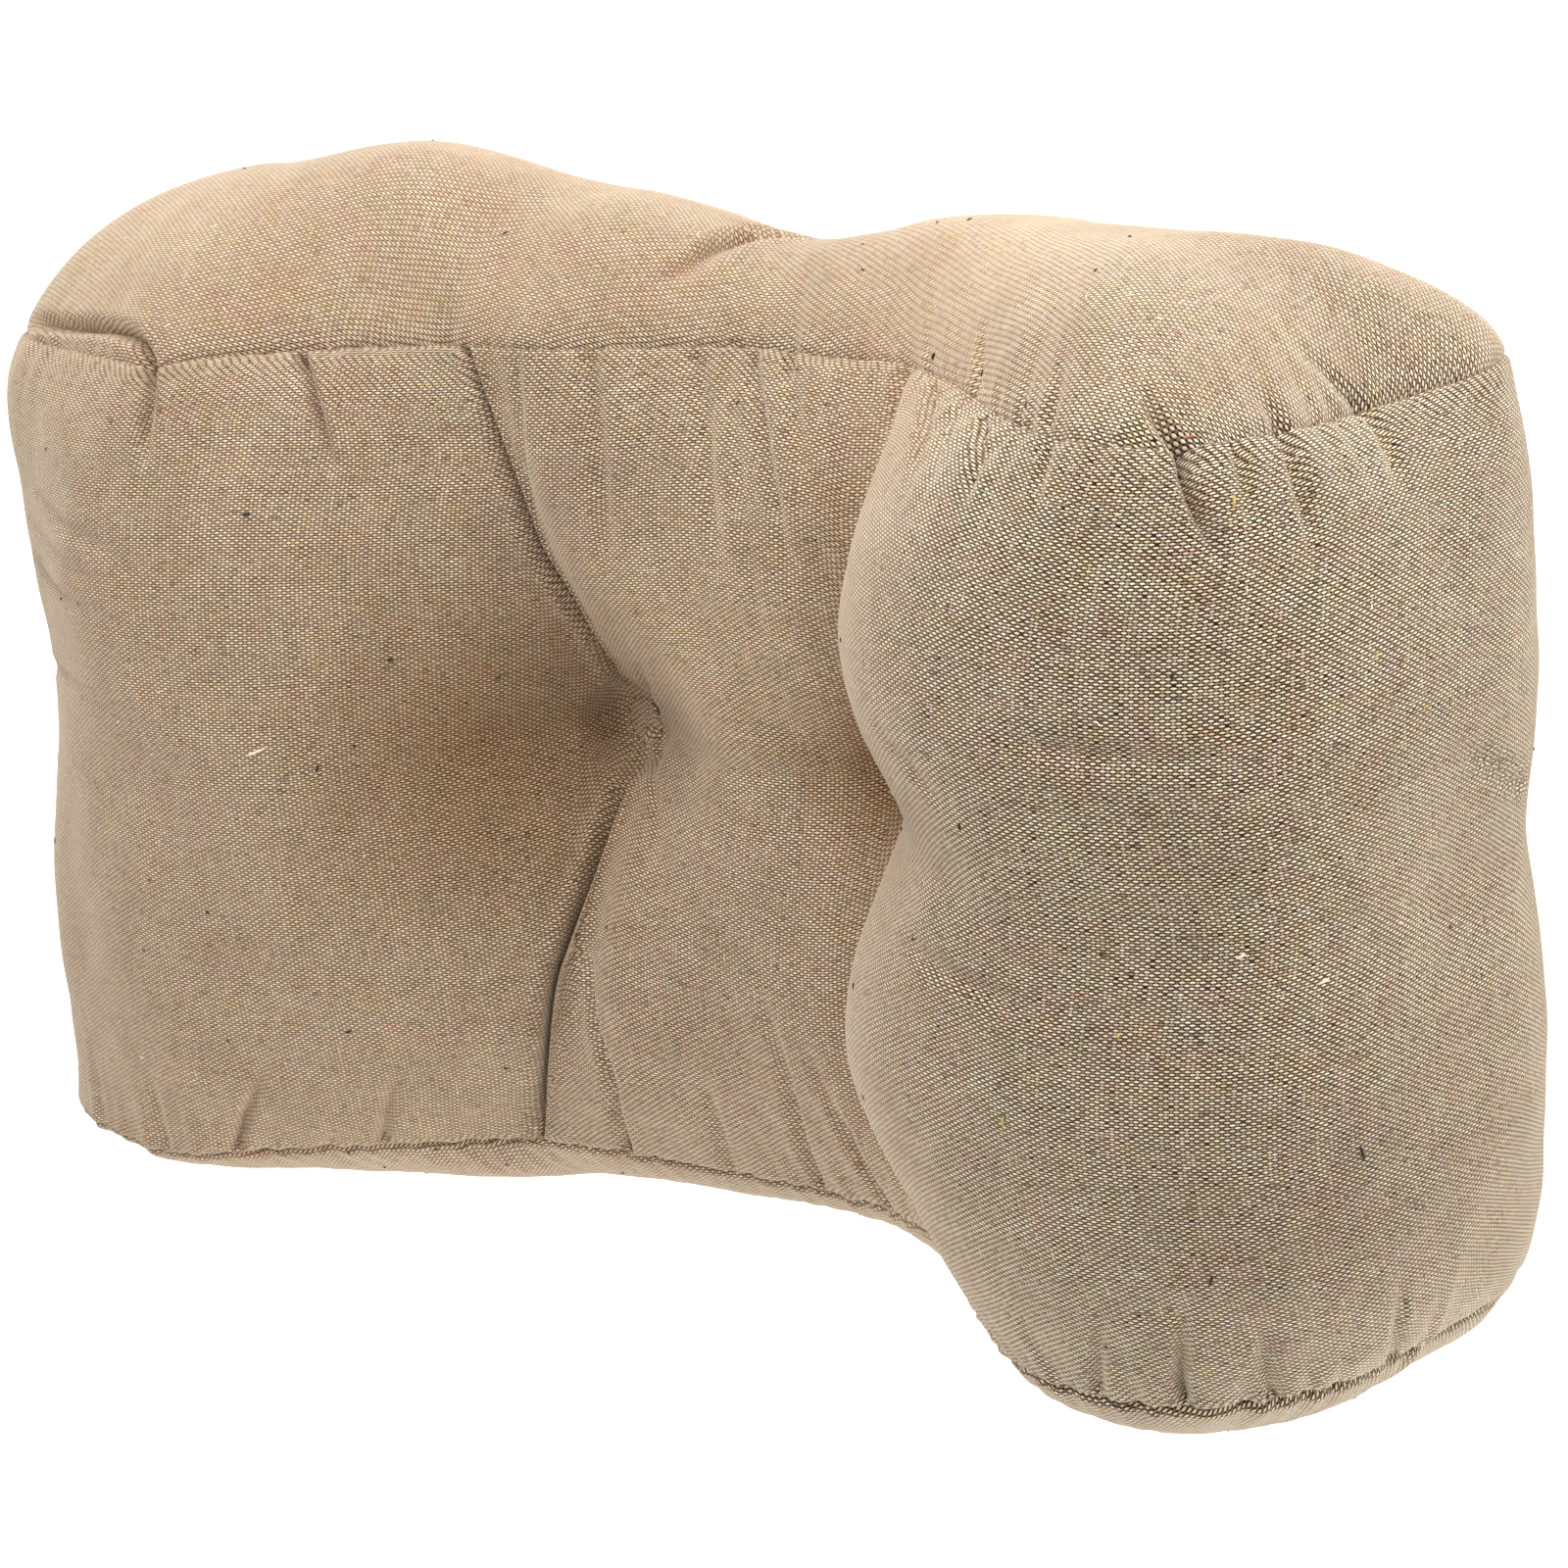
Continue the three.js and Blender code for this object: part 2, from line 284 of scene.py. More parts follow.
edge_rows = np.array(EDGE_ROWS_MM) / (SEAM_HEIGHT / 2)
middle = np.linspace(-1 + edge_rows[-1], 1 - edge_rows[-1], MIDDLE_ROWS + 1)[1:-1]
row_v = np.concatenate([-1 + edge_rows, middle, (1 - edge_rows)[::-1]])
ROWS = len(row_v)

crown_r = np.sin(np.linspace(pi / 2, 0, CROWN_ROWS))


def ridge_of_pairs(side):
    """For each front step: where its column reaches the ridge, with the height over the seam."""
    front = seam_point(front_u, side)
    back = seam_point(np.interp(front_share, back_share, back_fine), side)
    x, out, top, bottom = ridge_at((front[:, 0] + back[:, 0]) / 2)
    return x, out, top if side > 0 else bottom


def crown_grid(side):
    """Rows of an end panel from its seam, first, to its ridge, last."""
    x, out, rise = (a[column_pair] for a in ridge_of_pairs(side))
    seam = seam_point(column_u, side)
    r = crown_r[:, None]
    px = x + (seam[:, 0] - x) * r
    pz = out + (seam[:, 1] - out) * r
    fullness = SIDE_CROWN + (FRONT_CROWN - SIDE_CROWN) * facing_front(column_u)
    py = side * (SEAM_HEIGHT / 2 + rise * (1 - r**CROWN_ROUNDING) ** fullness)
    return np.stack([px, py, pz], -1)


grid_u, grid_v = np.meshgrid(column_u, row_v)
band = band_point(grid_u, grid_v)
top = crown_grid(1)
bottom = crown_grid(-1)


def unit(a):
    return a / np.maximum(np.linalg.norm(a, axis=-1, keepdims=True), TINY)


def grid_normals(p, outward):
    """Unit normals of a grid of points whose columns close on themselves."""
    across = np.roll(p, -1, 1) - np.roll(p, 1, 1)
    along = np.gradient(p, axis=0)
    n = unit(np.cross(across, along))
    return n if (n * outward).sum() > 0 else -n


band_middle = np.array([0.0, 0.0, 60.0])
band_normal = grid_normals(band, (band - band_middle) * (1, 0, 1))
top_normal = grid_normals(top[:-1], np.array([0.0, 1.0, 0.0]))
bottom_normal = grid_normals(bottom[:-1], np.array([0.0, -1.0, 0.0]))

# Folds
# Each runs through a few points on the cloth. Half is how far it reaches to either side, depth how
# far its bottom sinks, sharp 0 for a soft valley and 1 for a fold pressed shut, lean how far its
# bottom is tucked sideways, to the right of its run as seen from outside, and the strengths how
# much of it there is from its first point to its last. A fold in one cloth ends at the seam.
BAND_FOLDS = (
    # half, depth, sharp, lean, strengths along it, points
    # The crease, over and under the tuft.
    (4.5, 9, 1, -5.5, (1, 1, 1, 1, 0.8, 0.2),
     ((-69, 115, 81), (-66, 104, 81), (-63, 93, 80), (-60, 80, 79), (-57, 60, 75), (-54, 42, 66),
      (-53, 28, 58), (-54, 18, 51))),
    (4.5, 9, 1, -5.5, (0.2, 0.8, 1, 1, 1, 1),
     ((-53, -8, 50), (-55, -18, 59), (-57, -34, 70), (-60, -50, 78), (-64, -67, 83), (-73, -93, 81),
      (-81, -116, 77))),
    # Pleats at the upper left corner.
    (5, 6, 0.7, -1.5, (1, 1, 1, 0.6, 0),
     ((-111, 116, 101), (-107, 109, 103), (-103, 101, 105), (-100, 94, 106), (-96, 84, 107))),
    # Wrinkles over the left lobe's outer edge.
    (5, 1.6, 0.3, 0, (0.4, 1, 0.7, 0),
     ((-196, 76, 128), (-178, 71, 135), (-160, 68, 139), (-139, 57, 137))),
    (5, 1.5, 0.3, 0, (0.5, 1, 0.5, 0),
     ((-210, 54, 120), (-193, 50, 130), (-166, 49, 139), (-148, 42, 139))),
    (4, 1, 0.2, 0, (0.4, 1, 0), ((-206, 66, 122), (-184, 61, 134), (-158, 57, 139))),
    (6, 1.3, 0.2, 0, (0.6, 1, 0.5, 0),
     ((-216, 22, 118), (-198, 23, 127), (-169, 22, 138), (-150, 18, 139))),
    # Gathers at the top seam, in the middle.
    (4.5, 1.8, 0.3, 0, (1, 0.8, 0.5, 0), ((-50, 116, 80), (-51, 98, 82), (-54, 82, 80), (-55, 66, 78))),
    (6, 3, 0.2, 0, (1, 0.9, 0.7, 0), ((-31, 116, 74), (-26, 98, 79), (-25, 76, 81), (-28, 56, 80))),
    (6, 2.8, 0.2, 0, (1, 0.9, 0.7, 0), ((-4, 116, 63), (4, 99, 71), (9, 78, 77), (13, 60, 78))),
    (5, 3.2, 0.3, 0, (1, 0.9, 0.7, 0), ((12, 116, 60), (23, 100, 71), (32, 80, 78), (36, 60, 79))),
    (5, 2.2, 0.3, 0, (1, 0.8, 0), ((26, 115, 61), (35, 101, 72), (42, 78, 77))),
    (3.5, 0.9, 0.3, 0, (0.6, 1, 1, 0.6, 0),
     ((4, 116, 62), (14, 100, 72), (21, 78, 78), (24, 56, 78), (22, 40, 75))),
    (3.5, 0.7, 0.3, 0, (0.5, 1, 0.8, 0), ((-18, 116, 68), (-11, 99, 76), (-7, 76, 80), (-8, 54, 79))),
    (3.5, 0.8, 0.3, 0, (0.5, 1, 0.6, 0), ((-41, 116, 78), (-39, 98, 81), (-40, 76, 81), (-44, 58, 80))),
    # From the tuft towards the right lobe.
    (9, 0.8, 0.2, 0, (1, 0.8, 0.5, 0.6),
     ((-40, 1, 45), (-22, 3, 54), (0, 6, 62), (24, 8, 64), (42, 8, 58))),
    (4, 1.6, 0.3, 0, (1, 0.8, 0), ((-45, -5, 46), (-36, -14, 54), (-26, -26, 64))),
    (4, 1.6, 0.3, 0, (1, 0.8, 0), ((-45, 10, 47), (-38, 20, 56), (-30, 34, 66))),
    # Wrinkles on the right lobe.
    (6, 1.5, 0.2, 0, (0, 1, 0.9, 0),
     ((134, 53, 137), (147, 52, 137), (163, 50, 134), (181, 50, 127), (190, 49, 118))),
    (6, 1.7, 0.2, 0, (0.3, 1, 0.8, 0),
     ((104, -6, 127), (113, -8, 132), (130, -10, 136), (148, -14, 136))),
    (5, 1.2, 0.2, 0, (0.4, 1, 0), ((103, 45, 123), (112, 40, 129), (124, 33, 134))),
    (5, 2.2, 0.3, 0, (0, 1, 1), ((212, 40, 66), (211, 32, 50), (209, 22, 34), (206, 16, 22))),
    # Gathers at the top seam, right lobe.
    (5, 3.6, 0.4, 1, (1, 0.8, 0), ((66, 116, 66), (63, 106, 67), (57, 92, 70))),
    (5, 4.2, 0.4, 1, (1, 0.9, 0), ((80, 116, 73), (89, 109, 89), (102, 98, 111))),
    (5, 4.2, 0.5, 1, (1, 0.9, 0), ((116, 115, 101), (122, 110, 112), (127, 98, 124))),
    (4, 2.6, 0.4, 0, (1, 0.8, 0), ((98, 116, 86), (104, 110, 101), (112, 100, 115))),
    (4, 2.4, 0.4, 0, (1, 0.8, 0), ((145, 116, 116), (146, 111, 122), (148, 100, 129))),
    # Pleats at the upper right corner.
    (4, 2.4, 0.3, 0, (1, 0.8, 0), ((185, 116, 104), (190, 108, 107), (194, 96, 109))),
    # Folds at the bottom seam, left lobe.
    (5, 4, 0.5, 0, (1, 0.9, 0.4, 0),
     ((-152, -116, 127), (-145, -103, 128), (-137, -91, 128), (-130, -76, 128))),
    (5, 3, 0.4, 0, (1, 0.8, 0), ((-119, -116, 100), (-109, -100, 105), (-100, -84, 107))),
    (5, 2.4, 0.3, 0, (1, 0.8, 0), ((-176, -116, 132), (-174, -102, 134), (-172, -88, 136))),
    # Pleats at the bottom seam, in the middle.
    (5.5, 5, 0.6, 3, (1, 1, 0.9, 0.6, 0),
     ((-51, -116, 72), (-48, -100, 77), (-46, -85, 80), (-51, -70, 80), (-56, -50, 74))),
    (5, 3.6, 0.4, 1, (1, 1, 0.5, 0), ((13, -116, 65), (15, -92, 73), (17, -71, 78), (14, -50, 78))),
    (5, 3.6, 0.4, 1, (1, 1, 0.4, 0), ((38, -116, 66), (34, -98, 72), (32, -83, 77), (28, -64, 79))),
    (4, 2.2, 0.3, 0, (1, 0.8, 0), ((-16, -116, 66), (-13, -98, 75), (-12, -78, 80))),
    # Folds at the bottom seam, right lobe.
    (5, 3.4, 0.4, 0, (1, 0.8, 0), ((58, -114, 70), (72, -98, 92), (92, -76, 120))),
    (5, 3, 0.4, 0, (1, 0.8, 0), ((144, -116, 118), (149, -103, 125), (154, -84, 130))),
    (4.5, 4.5, 0.6, 0, (1, 0.9, 0.5, 0),
     ((166, -116, 114), (168, -106, 119), (171, -95, 122), (174, -80, 125))),
    (5, 3.4, 0.4, 0, (1, 0.8, 0), ((183, -115, 103), (186, -102, 110), (189, -86, 114))),
    (5, 2.6, 0.3, 0, (1, 0.8, 0), ((196, -116, 72), (202, -102, 78), (206, -86, 82))),
)
TOP_END_FOLDS = (
    (5, 2, 0.3, 0, (0.2, 0.8, 1), ((141, 131, 104), (143, 124, 110), (143, 116, 116))),
    (5, 1.3, 0.2, 0, (0.2, 0.8, 1), ((104, 130, 78), (106, 123, 84), (108, 116, 92))),
    (8, 5.5, 0.5, 4, (1, 1, 0.9, 0.6, 0),
     ((2, 138, 26), (-5, 139, 36), (-8, 138, 46), (-12, 133, 55), (-18, 128, 61))),
)
# Pleats that run over the top seam, at the upper corners.
SHARED_FOLDS = (
    (5.5, 6.5, 0.6, 0, (0.3, 0.8, 1, 1, 1, 1, 1, 0.8, 0),
     ((-208, 119, 104), (-184, 122, 114), (-166, 123, 118), (-153, 122, 121), (-147, 118, 123),
      (-144, 112, 126), (-143, 105, 128), (-143, 98, 130), (-142, 88, 132))),
    (4.2, 6, 0.75, 1.5, (0, 0.35, 0.8, 1, 1, 0.6, 0),
     ((165, 128, 108), (171, 122, 113), (177, 116, 114), (180, 111, 116), (183, 105, 117),
      (186, 99, 117), (189, 90, 116))),
    (5, 3.2, 0.3, 0, (0, 0.4, 0.9, 1, 0.6, 0),
     ((181, 129, 92), (188, 120, 91), (191, 115, 91), (195, 107, 94), (199, 98, 96), (203, 88, 98))),
    (5, 2.6, 0.2, 0, (0, 0.6, 1, 0.8, 0),
     ((182, 132, 70), (189, 124, 65), (194, 116, 60), (200, 108, 62), (206, 96, 66))),
)
FOLDS = {"band": BAND_FOLDS, "top": TOP_END_FOLDS, "bottom": (), "all": SHARED_FOLDS}
# How pointed a sharp fold's bottom is, how much the cloth rises beside it and how far out.
FOLD_POINT, FOLD_RIDGE, FOLD_RIDGE_OUT = 2.6, 0.2, 1.4
# A fold fades between these distances straight through the cushion.
FOLD_FADE_MM, FOLD_GONE_MM = 15.6, 26
FOLD_STEP_MM, FOLD_MARGIN_MM, FOLD_BATCH, CURVE_STEPS = 0.5, 8, 4000, 40
# The normal along a fold: how many places, and the mean of how many points at each.
FOLD_KNOTS, FOLD_NEIGHBOURS = 12, 40


def in_one_list(*grids):
    return np.concatenate([grid.reshape(-1, 3) for grid in grids])


cloud = in_one_list(band, top[:-1], bottom[:-1])
cloud_normal = in_one_list(band_normal, top_normal, bottom_normal)


def smooth_line(points):
    """A smooth line through the points, in even steps."""
    p = np.array(points, float)
    p = np.concatenate([[2 * p[0] - p[1]], p, [2 * p[-1] - p[-2]]])
    t = np.linspace(0, 1, CURVE_STEPS, endpoint=False)[:, None]
    parts = [through_four(*four, t) for four in zip(p[:-3], p[1:-2], p[2:-1], p[3:])]
    line = np.concatenate(parts + [p[-2:-1]])
    way = np.concatenate([[0], np.cumsum(steps_along(line))])
    steps = np.linspace(0, way[-1], max(4, int(way[-1] / FOLD_STEP_MM)))
    return between_rows(steps, way, line)


def fold_line(half, depth, sharp, lean, strengths, points):
    line = smooth_line(points)
    along = unit(np.gradient(line, axis=0))
    knots = line[:: max(1, len(line) // FOLD_KNOTS)]
    nearest = [np.argsort(((cloud - k) ** 2).sum(1))[:FOLD_NEIGHBOURS] for k in knots]
    near = np.array([cloud_normal[k].mean(0) for k in nearest])
    share = np.linspace(0, 1, len(line))
    normal = between_rows(share, np.linspace(0, 1, len(knots)), near)
    normal = unit(normal - (normal * along).sum(-1, keepdims=True) * along)
    side = np.cross(along, normal)
    strength = np.interp(share, np.linspace(0, 1, len(strengths)), strengths)
    return half, depth, sharp, lean, line, along, normal, side, strength


def fold_shift(p, lines, hold):
    """How folds move the points p, each as far as hold leaves it free."""
    flat = p.reshape(-1, 3)
    shift = np.zeros_like(flat)
    for half, depth, sharp, lean, line, along, normal, side, strength in lines:
        margin = half + FOLD_MARGIN_MM
        inside = (flat > line.min(0) - margin) & (flat < line.max(0) + margin)
        found = np.flatnonzero(inside.all(1))
        if not len(found):
            continue
        pts = flat[found]
        batches = np.array_split(pts, len(pts) // FOLD_BATCH + 1)
        nearest = np.concatenate([((b[:, None] - line) ** 2).sum(-1).argmin(1) for b in batches])
        off = pts - line[nearest]
        x = (off * side[nearest]).sum(1)
        past = (off * along[nearest]).sum(1)
        high = (off * normal[nearest]).sum(1)
        q = np.clip(np.sqrt(x * x + past * past) / half, 0, 1)
        k = strength[nearest] * (1 - smoothstep(FOLD_FADE_MM, FOLD_GONE_MM, np.abs(high)))
        k = k * hold.reshape(-1)[found]
        down = depth * (sharp * (1 - q) ** FOLD_POINT + (1 - sharp) * (0.5 + 0.5 * np.cos(pi * q)))
        down -= FOLD_RIDGE * depth * np.sin(pi * q**FOLD_RIDGE_OUT) ** 2
        squeezed = np.sign(x) * half * q**2 * (2 - q)
        aside = sharp * (squeezed - x) * (q < 1) + lean * (1 - q) ** 2
        shift[found] += (k * aside)[:, None] * side[nearest] - (k * down)[:, None] * normal[nearest]
    return shift.reshape(p.shape)


LINES = {cloth: [fold_line(*fold) for fold in folds] for cloth, folds in FOLDS.items()}

# Tufts, seams and gathers
# The tufts press the cloth down to a small flat circle, and fine gathers leave the end seams.
TUFTS = {"left": (-51.0, 4.5, 45.0), "right": (56.0, 3.0, 43.0)}
# It is flat up to the held share of the radius.
TUFT_RADIUS, TUFT_HELD, TUFT_REACH = 7.5, 0.9, 19.0
# The pressed circle rises a little towards the right.
TUFT_TILT = 0.2
SEAM_GROOVE_HALF = 2.6
GATHER_REACH = {1: 12.0, -1: 15.0}
SEAM_HOLD = 3.2
# How deep the seam sinks and how strong the gathers beside it are, round the cushion.
GROOVES = (
    # place, groove and gathers at the top seam, groove and gathers at the bottom seam
    ("left side", 0.9, 0.5, 1.6, 0.7),
    ("left crease", 0.8, 0.5, 1.2, 0.6),
    ("right lip", 0.8, 0.6, 1.2, 0.7),
    ("right inner", 0.6, 0.8, 1.8, 0.7),
    ("right outer shoulder", 0.4, 0.7, 2.6, 0.8),
    ("right side", 0.3, 0.5, 2.2, 0.7),
    ("back", 0.8, 0.3, 0.8, 0.3),
)
GATHER_LENGTHS = (6.5, 8.5, 11, 15, 23)
# How unevenly the gathers are spaced, and what brings their sum to about 1.
GATHER_BEND, GATHER_SUM = 1.2, 2.5
# Where a pleat draws the seam itself down, or the filling pushes it out: place, reach and push.
SEAM_PUSHES = (
    ((-146, 116, 124), 7, (0, -2.2, -1)),
    ((178, 116, 115), 7, (0, -1.2, -0.8)),
    ((-178, -116, 131), 13, (0, -2.5, -2)),
    ((-214, 112, 95), 34, (-8, 0, 3)),
    ((-222, -112, 100), 28, (-4, 0, 1)),
    ((196, 124, 60), 34, (-3, -4, 0)),
    ((142, -120, 112), 40, (-1, -2, 1)),
    ((106, -118, 92), 28, (-4, -1.5, 0)),
)
# Ripples of the filling. They grow over their edge's width from a seam.
RIPPLE_DEPTH, RIPPLE_LONGEST, RIPPLE_SHORTEST, RIPPLE_WAVES, RIPPLE_EDGE = 0.3, 60, 16, 26, 12
rng = np.random.default_rng(41)


def tuft_shift(p):
    shift = np.zeros_like(p)
    for place in TUFTS.values():
        centre = np.array(place)
        off = p - centre
        far = np.linalg.norm(off, axis=-1)
        flat = off * (1, 1, 0)
        flat[..., 2] = TUFT_TILT * flat[..., 0]
        out = unit(flat)
        seat = centre + out * far[..., None]
        hold = 1 - smoothstep(TUFT_HELD * TUFT_RADIUS, TUFT_REACH, far)
        shift += (seat - p) * hold[..., None]
    return shift


def ripples(p):
    """Gentle unevenness of the filling: waves in random directions."""
    lot = np.random.default_rng(ripple_seed)
    out = np.zeros(p.shape[:-1])
    for _ in range(RIPPLE_WAVES):
        length = RIPPLE_SHORTEST * (RIPPLE_LONGEST / RIPPLE_SHORTEST) ** lot.random()
        way = unit(lot.normal(size=3))
        turned = lot.random() * 2 * pi
        out += np.sin(p @ way * (2 * pi / length) + turned) * sqrt(length / RIPPLE_LONGEST)
    return out / sqrt(RIPPLE_WAVES / 2) * RIPPLE_DEPTH


def way_round(p):
    step = np.linalg.norm(np.diff(p, axis=0, append=p[:1]), axis=1)
    return np.concatenate([[0], np.cumsum(step)[:-1]]), step.sum()


def gather_waves(edge):
    """Irregular gathers round a seam, about -1 to 1, the same for band and end panel."""
    way, total = way_round(edge)
    out = np.zeros(len(edge))
    for length in GATHER_LENGTHS:
        turns = max(1, round(total / length))
        bend = GATHER_BEND * np.sin(way / total * 2 * pi * rng.integers(3, 9) + rng.random() * 6)
        out += np.sin(way / total * 2 * pi * turns + bend + rng.random() * 6)
    return out / GATHER_SUM


seam_normal = {
    1: unit(band_normal[-1] + top_normal[0]),
    -1: unit(band_normal[0] + bottom_normal[0]),
}
gathers = {1: gather_waves(band[-1]), -1: gather_waves(band[0])}
groove_places, *depths = zip(*GROOVES)
depths = [round_the_form(column_u, groove_places, values) for values in depths]
groove_depth, gather_depth = {1: depths[0], -1: depths[2]}, {1: depths[1], -1: depths[3]}
ripple_seed = rng.integers(1 << 30)


def dress(p, cloth, normal, edges):
    """Adds tufts, folds, gathers, ripples and the seam's groove to a grid of points.

    edges: for each seam that the grid meets, its side and each point's distance from it.
    """
    rough = ripples(p)
    near, hold = np.ones(p.shape[:-1]), np.ones(p.shape[:-1])
    shift = tuft_shift(p)
    for side, far in edges:
        near = np.minimum(near, smoothstep(0, RIPPLE_EDGE, far))
        hold = np.minimum(hold, smoothstep(0, SEAM_HOLD, far))
        groove = groove_depth[side] * (1 - np.clip(far / SEAM_GROOVE_HALF, 0, 1)) ** 2
        wave = gather_depth[side] * gathers[side] * np.exp(-far / GATHER_REACH[side])
        shift += (wave - groove)[..., None] * seam_normal[side]
    shift += (rough * near)[..., None] * normal
    shift += fold_shift(p, LINES[cloth], hold) + fold_shift(p, LINES["all"], np.ones_like(hold))
    for place, reach, push in SEAM_PUSHES:
        shift += np.exp(-((p - place) ** 2).sum(-1) / reach**2)[..., None] * push
    q = p + shift
    q[..., 2] = np.maximum(q[..., 2], 0)
    return q


def far_from_first(p):
    """Distance along each column from the grid's first row."""
    return np.concatenate([np.zeros((1, p.shape[1])), np.cumsum(steps_along(p), axis=0)])


from_seams = [(-1, far_from_first(band)), (1, far_from_first(band[::-1])[::-1])]
band_cloth = dress(band, "band", band_normal, from_seams)
end_cloth = {
    side: dress(p, cloth, np.concatenate([normal, normal[-1:]]), [(side, far_from_first(p))])
    for side, cloth, p, normal in ((1, "top", top, top_normal), (-1, "bottom", bottom, bottom_normal))
}

# Cloth coordinates
# In mm, s along the weft and t along the warp. The band's are cut at the left crease, at the right
# crease and in the middle of the back.
HALF_CLOTH = 127.0
CUT_SPACING = 1200.0
# The shortest step between two points of an end panel's ridge.
RIDGE_STEP = 1e-6


def closed(a):
    return np.concatenate([a, a[:, :1]], 1)


def ring_number(u):
    """The ring column nearest to station number u."""
    n = len(STATIONS)
    away = np.abs((column_u - u + n / 2) % n - n / 2)
    return int(np.argmin(away))


def band_coordinates(p, before_folds):
    """s follows the folds by half, so that they neither stretch the weave nor bend it round them."""
    p = closed(p)
    before = closed(before_folds)
    step = (steps_along(p, 1) + steps_along(before, 1)) / 2
    way = np.concatenate([np.zeros((len(p), 1)), np.cumsum(step, axis=1)], 1)
    cuts = [0, ring_number(PLACE["left crease"]), ring_number(PLACE["right crease"] + 0.3), COLUMNS]
    straight = [ring_number(PLACE[k]) for k in ("left nose", "front middle", "right nose")]
    s = [way - way[:, c : c + 1] + CUT_SPACING * k for k, c in enumerate(straight)]
    mid = len(p) // 2
    up = far_from_first(before)
    t = up - up[mid]
    t = np.where(t > 0, t / t[-1], t / -t[0]) * HALF_CLOTH
    return s, t, cuts


def end_coordinates(p, side):
    """An end panel laid flat: each column goes straight out from the ridge."""
    x, out, _ = (a[column_pair] for a in ridge_of_pairs(side))
    seam = seam_point(column_u, side)
    way = unit(seam - np.stack([x, out], -1))
    far = far_from_first(p[::-1])[::-1]
    st = np.stack([x + way[:, 0] * far, out + way[:, 1] * far], -1)
    return closed(st + (3 + side) * CUT_SPACING)


def make_mesh(name, verts, faces, uvs):
    mesh = bpy.data.meshes.new(name)
    mesh.from_pydata(((verts + ROW_SHIFT) * MM).tolist(), [], faces)
    layer = mesh.uv_layers.new(name="weave")
    layer.uv.foreach_set("vector", np.concatenate(uvs).astype(np.float32).ravel())
    mesh.polygons.foreach_set("use_smooth", [True] * len(mesh.polygons))
    mesh.validate()
    mesh.update()
    ob = bpy.data.objects.new(name, mesh)
    bpy.context.collection.objects.link(ob)
    return ob


def grid_faces(rows):
    """Corner numbers of a closed grid's quads, with rows and unrolled columns of each corner."""
    i, j = np.meshgrid(np.arange(rows - 1), np.arange(COLUMNS), indexing="ij")
    row = np.stack([i, i, i + 1, i + 1], -1).reshape(-1, 4)
    col = np.stack([j, j + 1, j + 1, j], -1).reshape(-1, 4)
    return row, col


def make_band():
    s, t, cuts = band_coordinates(band_cloth, band + tuft_shift(band))
    row, col = grid_faces(ROWS)
    part = np.searchsorted(cuts, col[:, 0], side="right") - 1
    chosen = np.stack(s)[part[:, None], row, col]
    uv = np.stack([chosen, t[row, col]], -1)
    faces = row * COLUMNS + col % COLUMNS
    return make_mesh("cloth_band", band_cloth.reshape(-1, 3), faces.tolist(), list(uv))


def make_end(name, side):
    p = end_cloth[side]
    st = end_coordinates(top if side > 0 else bottom, side)
    row, col = grid_faces(CROWN_ROWS - 1)
    order = [0, 1, 2, 3][::side]
    faces = (row * COLUMNS + col % COLUMNS)[:, order].tolist()
    uvs = list(st[row, col][:, order])
    ring = CROWN_ROWS - 2
    x, _, _ = ridge_of_pairs(side)
    first_column = {int(k): c for c, k in reversed(list(enumerate(column_pair)))}
    # Ridge points that fall on one another are made one.
    kept = [0]
    number = [0]
    for k in range(1, FRONT_STEPS + 1):
        if abs(x[k] - x[kept[-1]]) > RIDGE_STEP:
            kept.append(k)
        number.append(len(kept) - 1)
    base = ring * COLUMNS + COLUMNS
    ridge = np.array([p[-1, first_column[k]] for k in kept])
    ridge_st = np.array([st[-1, first_column[k]] for k in kept])
    for c in range(COLUMNS):
        d = (c + 1) % COLUMNS
        a, b = int(column_pair[c]), int(column_pair[d])
        step = 1 if a > b else -1
        between = []
        for k in range(b, a + step, step):
            if not between or between[-1] != number[k]:
                between.append(number[k])
        face = [ring * COLUMNS + c, ring * COLUMNS + d] + [base + k for k in between]
        uv = [st[ring, c], st[ring, c + 1]] + [ridge_st[k] for k in between]
        if side < 0:
            face.reverse()
            uv.reverse()
        faces.append(face)
        uvs.append(np.array(uv))
    verts = np.concatenate([p[:-1].reshape(-1, 3), ridge])
    return make_mesh(name, verts, faces, uvs)


cloth_band = make_band()
cloth_top = make_end("cloth_top_end", 1)
cloth_bottom = make_end("cloth_bottom_end", -1)

# Stitches
# Short lengths of thread along the seams, and round each tuft. Lengths and radii are in mm.
SEAM_STITCH, SEAM_STITCH_GAP, SEAM_STITCH_SINK = 2.3, 0.9, 0.05
# A stitch's middle, as a share of the pitch.
SEAM_STITCH_MIDDLE = 0.35
SEAM_THREAD_RADIUS = {1: 0.26, -1: 0.16}
TUFT_STITCHES, TUFT_THREAD_RADIUS = 16, 0.34
TUFT_RING_RADIUS = 0.93 * TUFT_RADIUS
# Where a tuft's stitch starts and ends, as shares of its place in the ring.
TUFT_STITCH_SHARES = (0.1, 0.78)
# How far over or under its middle the pressed circle is looked for.
TUFT_DEPTH_RANGE = 6
# A stitch from end to end: share of its length, of its radius, and how many radii it is lifted.
STITCH_PROFILE = ((0, 0.35, -0.6), (0.2, 0.85, 0.1), (0.5, 1, 0.45), (0.8, 0.85, 0.1), (1, 0.35, -0.6))
STITCH_SIDES = 6


